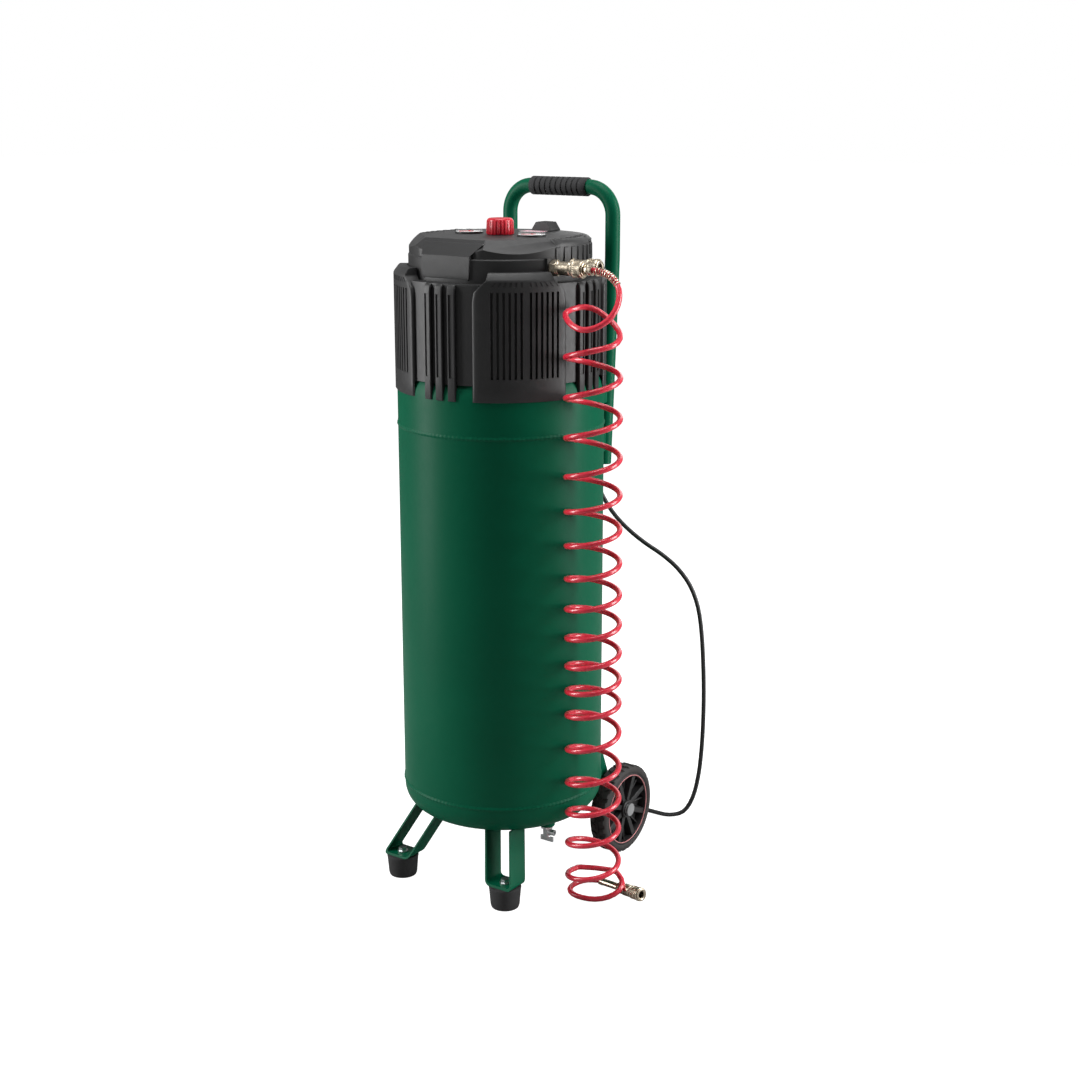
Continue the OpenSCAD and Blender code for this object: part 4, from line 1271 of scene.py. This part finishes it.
def hub(spokes):
    w = WHEEL_W
    rim = Shape().lathe(
        [(53, 2.5), (53.6, 1.4), (56.8, 1.2), (57.3, 2)]
        + [(57.3, w - 2), (56.8, w - 1.2), (53.6, w - 1.4), (53, w - 2.5)], 96
    )
    rim.lathe([(0, 1), (13, 1), (14, 2), (14, w - 2), (13, w - 1), (0, w - 1)], 48)
    rim.lathe([(12, 12.5), (55, 12.5), (55, 15.5), (12, 15.5)], 96)
    spoke = Shape().loft([
        [(11, -4.2, 14), (54, -6.5, 14), (54, 6.5, 14), (11, 4.2, 14)],
        [(11, -3.6, w - 5), (54, -4.2, w - 3.2), (54, 4.2, w - 3.2), (11, 3.6, w - 5)],
    ])
    web = Shape().loft([
        [(30, -1.4, 14), (53, -1.4, 14), (53, 1.4, 14), (30, 1.4, 14)],
        [(30, -1.0, w - 10), (53, -1.0, w - 8), (53, 1.0, w - 8), (30, 1.0, w - 10)],
    ])
    back = Shape().loft([
        [(11, -2.5, 3), (54, -2.5, 3), (54, 2.5, 3), (11, 2.5, 3)],
        [(11, -2.5, 14), (54, -2.5, 14), (54, 2.5, 14), (11, 2.5, 14)],
    ])
    join(rim, copies(spoke, spokes, 360 / spokes, 180 / spokes))
    join(rim, copies(back, spokes, 360 / spokes, 180 / spokes))
    join(rim, copies(web, spokes, 360 / spokes))
    ring = Shape().lathe(bend((53.9, w - 1.7), 0.8, -180, 150, 11), 96)
    domed = [(0, w - 1.2), (8.5, w - 1.2), (8.5, w + 2), (7.4, w + 3.2), (4, w + 3.6), (0, w + 3.7)]
    cap = Shape().lathe(domed, 40)
    return rim, ring, cap


class COMPRESSOR_OT_wheels(bpy.types.Operator):
    """Makes the two wheels: tyre with its lugs, spoked hub, rim line and axle cap"""

    bl_idname = "compressor.wheels"
    bl_label = "Wheels"

    def execute(self, context):
        given = context.scene.compressor_wheel
        at = shift(WHEEL_X - WHEEL_W / 2, WHEEL_Y, WHEEL_R) @ ALONG_X
        rubber_part = tyre(given.lugs)
        rim, ring, cap = hub(given.spokes)
        for side in ("left", "right"):
            spot = at if side == "right" else mirrored(at)
            body = side + "_wheel"
            Shape().add(rubber_part.points, rubber_part.faces, spot).piece(
                "tyre_" + side + "_treaded", [finish("tyre_rubber")], body, "tyre_rubber", ("tyre_" + side,)
            )
            wheel = Shape().add(rim.points, rim.faces, spot)
            wheel.add(ring.points, ring.faces, spot, 1)
            wheel.piece(
                "hub_" + side + "_spoked", [finish("moulded_plastic"), finish("ring_paint")], body,
                "wheel_plastic", ("hub_" + side,), 0.5,
            )
            Shape().add(cap.points, cap.faces, spot).piece(
                "axle_cap_" + side, [finish("dial_white")], body, "zinc_steel"
            )
        return {"FINISHED"}


# ---- shroud ----
def panel_half(z):
    """Half the angle that a corner panel spans at a height: its upper corners are cut off."""
    for low, high, first, last in ((893, 911, PANEL_HALF, 18.4), (911, 921, 18.4, PANEL_TIP)):
        if z <= low:
            return first
        if z <= high:
            return first + (last - first) * (z - low) / (high - low)
    return PANEL_TIP


SLOT_STEP, SLOT_MIDDLE = 3.05, 1.9
SLOT_SHIFT = 2.4
SLOT_LOW, SLOT_HIGH = 777.0, 895.0
SLOTS_REACH = 21.0
PANEL_HALF = 25.75
PANEL_TIP = 17.6
PANEL_R = 152.4
PANEL_TURN = 2.25


def slot_angles():
    return [
        SLOT_SHIFT + (k - 5.5) * SLOT_STEP + (SLOT_MIDDLE / 2 if k > 5 else -SLOT_MIDDLE / 2)
        for k in range(12)
    ]


def panel_columns(slot_width):
    wide = math.degrees(slot_width / SHROUD_R) / 2
    edges = []
    for a in slot_angles():
        edges += [(a - wide, True), (a + wide, False)]
    side = [(-PANEL_HALF, False), (-25.4, False), (-24.8, False), (-23.6, False), (-21.4, False)]
    return side + edges + [(-a, False) for a, _ in side[::-1]]


def panel_shape(slot_width, slot_depth):
    """One corner panel about the -Y direction: a closed block with cooling slots sunk in it."""
    columns = panel_columns(slot_width)
    levels = [
        (z, PANEL_R + out)
        for z, out in (
            (745, -1.2), (746.6, 0), (765, 0), (766, 0), (SLOT_LOW, 0), (837, 0), (882, 0),
            (SLOT_HIGH, 0), (898, 0), (902.5, 0), (903.5, 0), (906.5, 0), (909, 0), (911, -0.2),
            (912.5, -1), (919.6, -6.4), (920.8, -7.6), (921, -8.6),
        )
    ]
    inner = lambda z: 150.6 if z < 765.5 else 146 if z < 903 else 132.5
    ease = {0: 2.6, 1: 1.1, 2: 0.25}

    def angle(column, z):
        a, half = columns[column][0], panel_half(z)
        share = min(1.0, half / 22.2)
        if abs(a) <= SLOTS_REACH:
            return a * share
        edge = SLOTS_REACH * share
        rest = (abs(a) - SLOTS_REACH) / (PANEL_HALF - SLOTS_REACH)
        return math.copysign(edge + rest * (half - edge), a)

    def spot(a, r, z):
        return (r * math.sin(math.radians(a)), -r * math.cos(math.radians(a)), z)

    m, n = len(columns), len(levels)
    points, faces = [], []
    for z, r in levels:
        for c in range(m):
            sunk = ease.get(min(c, m - 1 - c), 0)
            points.append(spot(angle(c, z), r - sunk, z))
        for c in range(m):
            points.append(spot(angle(c, z), inner(z), z))
    outer_at = lambda i, c: i * 2 * m + c
    inner_at = lambda i, c: i * 2 * m + m + c

    def pocket(c, first, last, depth):
        """Sinks the cells of a column between two levels: walls round a floor."""
        ring = [outer_at(i, c) for i in range(first, last + 1)]
        ring += [outer_at(i, c + 1) for i in range(last, first - 1, -1)]
        base = len(points)
        for i in range(first, last + 1):
            points.append(spot(angle(c, levels[i][0]), levels[i][1] - depth, levels[i][0]))
        for i in range(last, first - 1, -1):
            points.append(spot(angle(c + 1, levels[i][0]), levels[i][1] - depth, levels[i][0]))
        count = len(ring)
        for k in range(count):
            j = (k + 1) % count
            faces.append([ring[k], ring[j], base + j, base + k])
        rows = last - first
        for k in range(rows):
            faces.append([base + k, base + k + 1, base + count - 2 - k, base + count - 1 - k])

    slot_rows = (4, 7)
    groove_rows = (9, 12)
    for i in range(n - 1):
        for c in range(m - 1):
            starts = columns[c][1]
            if starts and slot_rows[0] <= i < slot_rows[1]:
                continue
            if starts and groove_rows[0] <= i < groove_rows[1]:
                continue
            faces.append([outer_at(i, c), outer_at(i, c + 1), outer_at(i + 1, c + 1), outer_at(i + 1, c)])
        for c in range(m - 1):
            faces.append([inner_at(i, c), inner_at(i + 1, c), inner_at(i + 1, c + 1), inner_at(i, c + 1)])
        for c in (0, m - 1):
            faces.append([outer_at(i, c), outer_at(i + 1, c), inner_at(i + 1, c), inner_at(i, c)])
    for c in range(m - 1):
        faces.append([outer_at(0, c), inner_at(0, c), inner_at(0, c + 1), outer_at(0, c + 1)])
        faces.append([outer_at(n - 1, c), outer_at(n - 1, c + 1), inner_at(n - 1, c + 1), inner_at(n - 1, c)])
        if columns[c][1]:
            pocket(c, *slot_rows, slot_depth)
            pocket(c, *groove_rows, 0.7)
    return Shape().add(points, faces)


RIB_W = 12.0


def rib_shape():
    """An upright rib at the -Y side, with a narrow sunk window and a rounded top."""
    across = [-RIB_W / 2, -RIB_W / 2 + 1.0, -3.4, 3.4, RIB_W / 2 - 1.0, RIB_W / 2]
    front, back, sunk = 152.4, 145.0, 150.9
    ease = [1.2, 0.1, 0, 0, 0.1, 1.2]
    levels = [(745, 0.6), (746, 0), (777, 0), (891, 0), (897, 0.3), (901, 1.2), (903.8, 3), (905, 5.6)]
    points, faces = [], []
    m, n = len(across), len(levels)
    for z, drop in levels:
        squeeze = 1 - max(0, z - 900) * 0.05
        points += [(x * squeeze, -(front - drop - e), z) for x, e in zip(across, ease)]
        points += [(x * squeeze, -back, z) for x in across]
    spot = lambda i, c: i * 2 * m + c
    rear = lambda i, c: i * 2 * m + m + c
    for i in range(n - 1):
        for c in range(m - 1):
            if not (c == 2 and i == 2):
                faces.append([spot(i, c), spot(i, c + 1), spot(i + 1, c + 1), spot(i + 1, c)])
            faces.append([rear(i, c), rear(i + 1, c), rear(i + 1, c + 1), rear(i, c + 1)])
        for c in (0, m - 1):
            faces.append([spot(i, c), spot(i + 1, c), rear(i + 1, c), rear(i, c)])
    for c in range(m - 1):
        faces.append([spot(0, c), rear(0, c), rear(0, c + 1), spot(0, c + 1)])
        faces.append([spot(n - 1, c), spot(n - 1, c + 1), rear(n - 1, c + 1), rear(n - 1, c)])
    base = len(points)
    ring = [spot(2, 2), spot(2, 3), spot(3, 3), spot(3, 2)]
    points += [(points[k][0], -sunk, points[k][2]) for k in ring]
    faces += [[ring[k], ring[(k + 1) % 4], base + (k + 1) % 4, base + k] for k in range(4)]
    faces.append([base, base + 1, base + 2, base + 3])
    return Shape().add(points, faces)


def arc_wall(half, r_in, r_out, low, high, steps=24):
    """A closed piece of ring wall about the -Y direction."""
    rows = []
    for k in range(steps + 1):
        a = math.radians(-half + 2 * half * k / steps)
        rows.append([
            (r * math.sin(a), -r * math.cos(a), z)
            for r, z in ((r_out, low), (r_out, high), (r_in, high), (r_in, low))
        ])
    return Shape().loft(rows)


class COMPRESSOR_OT_shroud(bpy.types.Operator):
    """Makes the moulded shroud: corner panels with cooling slots, ribs, recess walls and deck"""

    bl_idname = "compressor.shroud"
    bl_label = "Shroud"

    def execute(self, context):
        given = context.scene.compressor_shroud
        plastic = finish("moulded_plastic")
        panel = panel_shape(given.slot_width / MM, given.slot_depth / MM)
        shroud = copies(panel, 4, 90, 45 + PANEL_TURN, finish=plastic)
        rib = copies(rib_shape(), 3, 7.6, PANEL_TURN - 7.6, finish=plastic)
        join(shroud, copies(rib, 4, 90, finish=plastic))
        join(shroud, copies(arc_wall(25, 144, CORE_R, 767, 903), 4, 90, finish=plastic))
        shroud.lathe([(122, 902), (146.9, 902), (147, 903), (146.6, 905), (122, 905)], 160)
        shroud.piece("shroud_moulding", [plastic], "tank", "black_plastic", ("shroud",), 0.35, 40)
        return {"FINISHED"}


# ---- cover ----
def cut(bm, point, normal):
    """Cuts away what lies beyond a plane and closes the cut."""
    found = bmesh.ops.bisect_plane(
        bm, geom=bm.verts[:] + bm.edges[:] + bm.faces[:], plane_co=point, plane_no=normal,
        clear_outer=True,
    )
    rim = [e for e in found["geom_cut"] if isinstance(e, bmesh.types.BMEdge)]
    if rim:
        bmesh.ops.edgeloop_fill(bm, edges=rim)


def carved(shape, planes):
    """The shape, with each plane's outer side cut away."""
    mesh = bpy.data.meshes.new("part")
    mesh.from_pydata(shape.points, [], shape.faces)
    bm = bmesh.new()
    bm.from_mesh(mesh)
    bmesh.ops.recalc_face_normals(bm, faces=bm.faces)
    for point, normal in planes:
        cut(bm, point, Vector(normal).normalized())
    bmesh.ops.dissolve_limit(bm, angle_limit=math.radians(0.5), verts=bm.verts[:], edges=bm.edges[:])
    bm.verts.index_update()
    made = Shape().add([v.co.copy() for v in bm.verts], [[v.index for v in f.verts] for f in bm.faces])
    bm.free()
    bpy.data.meshes.remove(mesh)
    return made


def slope(az, edge_r, edge_z, degrees):
    """A plane that leans back from an edge in front of the given direction."""
    a, d = math.radians(az), math.radians(degrees)
    out = Vector((math.sin(a), -math.cos(a), 0))
    point = out * edge_r + Vector((0, 0, edge_z))
    return point, out * math.sin(d) + Vector((0, 0, math.cos(d)))


def upright(az, reach):
    a = math.radians(az)
    out = Vector((math.sin(a), -math.cos(a), 0))
    return out * reach, out


SCREWS = [(92, -78), (92, 84)]


class COMPRESSOR_OT_cover(bpy.types.Operator):
    """Makes the moulded top cover with its nose, facets, pleats and screw pockets, their floors painted
    near-black as shade
    """

    bl_idname = "compressor.cover"
    bl_label = "Cover"

    def execute(self, context):
        plastic = finish("moulded_plastic")
        upper = Shape().lathe(
            [(0, DECK_Z), (COVER_R - 2, DECK_Z), (COVER_R - 1, COVER_TOP - 9)]
            + bend((COVER_R - 10, COVER_TOP - 9), 9, 0, 90, 6)[1:] + [(0, COVER_TOP)],
            160,
        )
        cover = carved(upper, [
            upright(0, 120), slope(0, 120, 948, 36), slope(47, 131, 944, 34), slope(-47, 131, 946, 36),
        ])
        step = [(0, DECK_Z), (COVER_R, DECK_Z), (COVER_R, 936), (COVER_R - 1.5, 938), (0, 938)]
        tier = Shape().lathe(step, 160)
        join(cover, carved(tier, [upright(0, 126), upright(90, 124)]))
        low = Shape().loft([
            [(-36, -124, DECK_Z), (36, -124, DECK_Z), (40, -90, DECK_Z), (-40, -90, DECK_Z)],
            [(-40, -126.9, 912), (40, -126.9, 912), (44, -90, 912), (-44, -90, 912)],
            [(-41, -126.9, 941), (41, -126.9, 941), (47, -90, 941), (-47, -90, 941)],
            [(-50, -112, 956.5), (53, -112, 956.5), (54, -90, 956.5), (-50, -90, 956.5)],
            [(-50, -110.5, 957.6), (53, -110.5, 957.6), (54, -84, 959.5), (-50, -84, 959.5)],
        ])
        join(cover, low)
        pleat = Shape().loft([
            [(118, -4.4, 931), (131.4, -4.0, 931), (131.4, 4.0, 931), (118, 4.4, 931)],
            [(112, -4.4, 951), (131.0, -3.8, 951), (131.0, 3.8, 951), (112, 4.4, 951)],
            [(112, -4.0, 958.6), (125.6, -3.2, 958.6), (125.6, 3.2, 958.6), (112, 4.0, 958.6)],
            [(110, -3.6, 962.6), (119.0, -2.6, 962.6), (119.0, 2.6, 962.6), (110, 3.6, 962.6)],
        ])
        for first in (-16, 150):
            join(cover, copies(pleat, 8, 6.6, first, finish=plastic))
        for x, y in SCREWS:
            for side in (-1, 1):
                base = 941 if y < 0 else 956
                rim = [(4.4, -8), (6.6, -8), (6.6, 2.2), (6.0, 3), (5, 3), (4.4, 2.4)]
                tilt = turn("Y", side * 18) @ turn("X", 18 if y < 0 else -18)
                cover.lathe(rim, 32, shift(side * x, y, base) @ tilt)
                # a near-black disc on the pocket's floor: painted shade in the screw hole
                cover.lathe([(0, -8), (4.4, -8), (4.4, 0.2), (0, 0.2)], 32, shift(side * x, y, base) @ tilt, 1)
        for side in (-1, 1):
            pocket = turn("Z", side * 22 + (180 if side > 0 else 0)) @ shift(-126.6, 0, 958.2) @ turn("Y", -42)
            cover.lathe([(4.6, -7), (6.2, -7), (6.2, 0.8), (5.6, 1.3), (4.6, 1)], 32, pocket)
            # a near-black disc on this pocket's floor: painted shade in the hole
            cover.lathe([(0, -7), (4.6, -7), (4.6, 0.5), (0, 0.5)], 32, pocket, 1)
        cover.piece(
            "cover_moulding", [plastic, finish("black_ink_and_painted_shade")], "tank", "black_plastic",
            ("top_cover",), 0.9, 24,
        )
        return {"FINISHED"}


# ---- controls ----
class COMPRESSOR_OT_controls(bpy.types.Operator):
    """Makes the regulator knob, the two gauges, the switch and the label"""

    bl_idname = "compressor.controls"
    bl_label = "Controls"

    def execute(self, context):
        z = COVER_TOP + 0.5
        knob = Shape().lathe(
            [(0, 0), (18.6, 0), (19, 0.6), (18.4, 20), (17.4, 21.8), (15.8, 22.7), (13.6, 23), (0, 23)],
            80, shift(0, 0, z),
        )
        flute = Shape().loft([
            [(17, -1.6, 0.4), (19.4, -1.3, 0.4), (19.4, 1.3, 0.4), (17, 1.6, 0.4)],
            [(17, -1.6, 1.4), (19.9, -1.1, 1.4), (19.9, 1.1, 1.4), (17, 1.6, 1.4)],
            [(16, -1.6, 19), (19.2, -1.1, 19), (19.2, 1.1, 19), (16, 1.6, 19)],
            [(15, -1.6, 21.4), (17.6, -0.9, 21.4), (17.6, 0.9, 21.4), (15, 1.6, 21.4)],
        ])
        join(knob, copies(flute, 24, 15), shift(0, 0, z))
        knob.piece("knob", [finish("red_plastic")], "knob", "red_plastic", ("regulator_knob",), 0.3, 40)

        cases, ticks, glass = Shape(), Shape(), Shape()
        tick = Shape().block((14, -0.25, 2.35), (17, 0.25, 2.5))
        small = Shape().block((15.8, -0.12, 2.35), (17, 0.12, 2.5))
        for side in (-1, 1):
            at = shift(side * 55, 0, COVER_TOP)
            cases.lathe(
                [(0, -14), (17, -14), (17, 0), (20, 0), (20.5, 0.6), (20.5, 2.2), (20.1, 2.8), (19.8, 2.7),
                 (19.6, 1.9), (0, 1.9)], 72, at,
            )
            cases.lathe([(0, 1.8), (19.5, 1.8), (19.5, 2.4), (0, 2.4)], 72, at, 1)
            glass.lathe([(0, 2.55), (19.4, 2.55), (19.4, 4.2), (18.8, 5.2), (17, 5.8), (0, 6)], 72, at)
            join(ticks, copies(tick, 7, 45, -45), at)
            join(ticks, copies(small, 31, 9, -45), at)
        cases.piece(
            "gauges", [finish("moulded_plastic"), finish("dial_white")], "tank", "black_plastic",
            ("gauge_cases",),
        )
        ticks.piece("gauge_ticks", [finish("black_ink_and_painted_shade")], "tank", "black_plastic")
        glass.piece("gauge_glasses", [finish("clear_lens")], "tank", "clear_lens", ("gauge_lenses",))

        switch = Shape().loft([
            [(-17, -12, 0), (17, -12, 0), (17, 13, 0), (-17, 13, 0)],
            [(-17, -12, 1.6), (17, -12, 1.6), (17, 13, 1.6), (-17, 13, 1.6)],
            [(-10, -11, 12.4), (10, -11, 12.4), (10, 12.2, 12.4), (-10, 12.2, 12.4)],
        ], shift(9, 100, z))
        grip = Shape().block((-8, -0.6, 12.2), (8, 0.6, 12.9))
        join(switch, copies(grip, 5, 0, 0, (0, 4, 0)), shift(9, 92, z))
        switch.lathe([(0, -51), (4.2, -51), (4.2, 0.2), (0, 0.2)], 32, shift(9, 100, z))
        switch.piece(
            "switch", [finish("moulded_plastic")], "switch", "black_plastic", ("switch_button",), 1.4, 30
        )
        label = Shape().block((-14, 66, COVER_TOP), (22, 86, COVER_TOP + 0.6))
        label.piece("label", [finish("label_print")], "tank", "label", ("rating_label",), 0.2)
        return {"FINISHED"}


# ---- air couplings ----
class COMPRESSOR_OT_couplings(bpy.types.Operator):
    """Makes the two quick couplings and their knurled sleeves"""

    bl_idname = "compressor.couplings"
    bl_label = "Couplings"

    def execute(self, context):
        metal_finish = finish("nickel_brass")
        long = SOCKET_FACE - 122 + 10
        for side in ("front", "rear"):
            at = shift(112, COUPLING_Y[side], OUTLET_Z) @ ALONG_X
            bore = [(5.15, long - 1), (5.15, long - 22), (3, long - 23), (3, 1)]
            body = Shape().lathe(
                [(5.9, 0), (5.9, 10), (8.6, 10.2), (9.6, 20), (9.6, 22), (8.9, 22.4), (8.9, 24), (9.6, 24.4),
                 (9.6, 40.6), (8.6, 41.6), (8.45, long - 2.4), (9.6, long - 2), (10, long - 1.4),
                 (10, long - 0.5), (9.4, long), (6, long)] + bore, 60, at,
            )
            hexagon = [(11.4 * math.cos(math.pi * i / 3), 11.4 * math.sin(math.pi * i / 3)) for i in range(6)]
            body.prism(hexagon, 9.4, at @ shift(0, 0, 10.3))
            body.piece(
                "coupling_" + side, [metal_finish], "tank", "nickel_brass", ("coupling_" + side + "_body",), 0.35
            )
            sleeve = coupling_sleeve(12, 16, 8.6).placed(at @ shift(0, 0, long - 18.5))
            sleeve.piece(
                "coupling_" + side + "_sleeve", [metal_finish], side + "_sleeve", "nickel_brass",
                ("coupling_sleeve_" + side,), 0.2,
            )
        return {"FINISHED"}


# ---- pieces that keep the CAD's own shape ----
KEPT = {
    "foot_bolts": "zinc", "axle_brackets": "powder_coat", "axle_bolts": "zinc", "axle_nuts": "zinc",
    "drain_valve": "zinc", "drain_tap": "zinc", "pump_platform": "powder_coat", "rubber_mounts": "rubber",
    "motor_housing": "cast_metal", "motor_stator": "steel", "motor_rotor": "steel", "shaft_bearings": "steel",
    "cooling_fan": "moulded_plastic", "crankcase": "cast_metal", "cylinder": "cast_metal",
    "cylinder_head": "cast_metal", "piston_rod": "cast_metal", "intake_filter": "moulded_plastic",
    "discharge_pipe": "copper", "check_valve": "brass", "pressure_switch": "moulded_plastic",
    "start_capacitor": "moulded_plastic", "regulator_body": "brass", "outlet_manifold": "moulded_plastic",
    "safety_valve": "brass", "safety_ring": "zinc", "cover_screws": "zinc",
    "gauge_needle_left": "red_plastic", "gauge_needle_right": "red_plastic",
}


class COMPRESSOR_OT_kept_parts(bpy.types.Operator):
    """Gives the pieces that keep the CAD's own shape their finishes"""

    bl_idname = "compressor.kept_parts"
    bl_label = "Pump and fixings"

    def execute(self, context):
        for node, name in KEPT.items():
            mesh = frame["nodes"][node].data
            mesh.materials.clear()
            mesh.materials.append(finish(name))
        return {"FINISHED"}


OPERATORS = (
    COMPRESSOR_OT_stage, COMPRESSOR_OT_air_hose, COMPRESSOR_OT_mains_lead, COMPRESSOR_OT_tank,
    COMPRESSOR_OT_handle, COMPRESSOR_OT_feet, COMPRESSOR_OT_wheels, COMPRESSOR_OT_shroud,
    COMPRESSOR_OT_cover, COMPRESSOR_OT_controls, COMPRESSOR_OT_couplings, COMPRESSOR_OT_kept_parts,
)


class COMPRESSOR_PT_sidebar(bpy.types.Panel):
    """Lists the compressor's sizes, colours and pieces"""

    bl_label = "Compressor"
    bl_idname = "COMPRESSOR_PT_sidebar"
    bl_space_type = "VIEW_3D"
    bl_region_type = "UI"
    bl_category = "Compressor"

    def draw(self, context):
        for name in SETTINGS:
            box = self.layout.box()
            group = getattr(context.scene, name)
            for key in group.__annotations__:
                box.prop(group, key)
        for operator in OPERATORS:
            self.layout.operator(operator.bl_idname)


def register():
    for cls in (*SETTINGS.values(), *OPERATORS, COMPRESSOR_PT_sidebar):
        bpy.utils.register_class(cls)
    for name, cls in SETTINGS.items():
        setattr(bpy.types.Scene, name, bpy.props.PointerProperty(type=cls))


def unregister():
    for name in SETTINGS:
        delattr(bpy.types.Scene, name)
    for cls in (COMPRESSOR_PT_sidebar, *reversed(OPERATORS), *SETTINGS.values()):
        bpy.utils.unregister_class(cls)


def main():
    register()
    for operator in OPERATORS:
        area, name = operator.bl_idname.split(".")
        getattr(getattr(bpy.ops, area), name)()


if __name__ == "__main__":
    main()
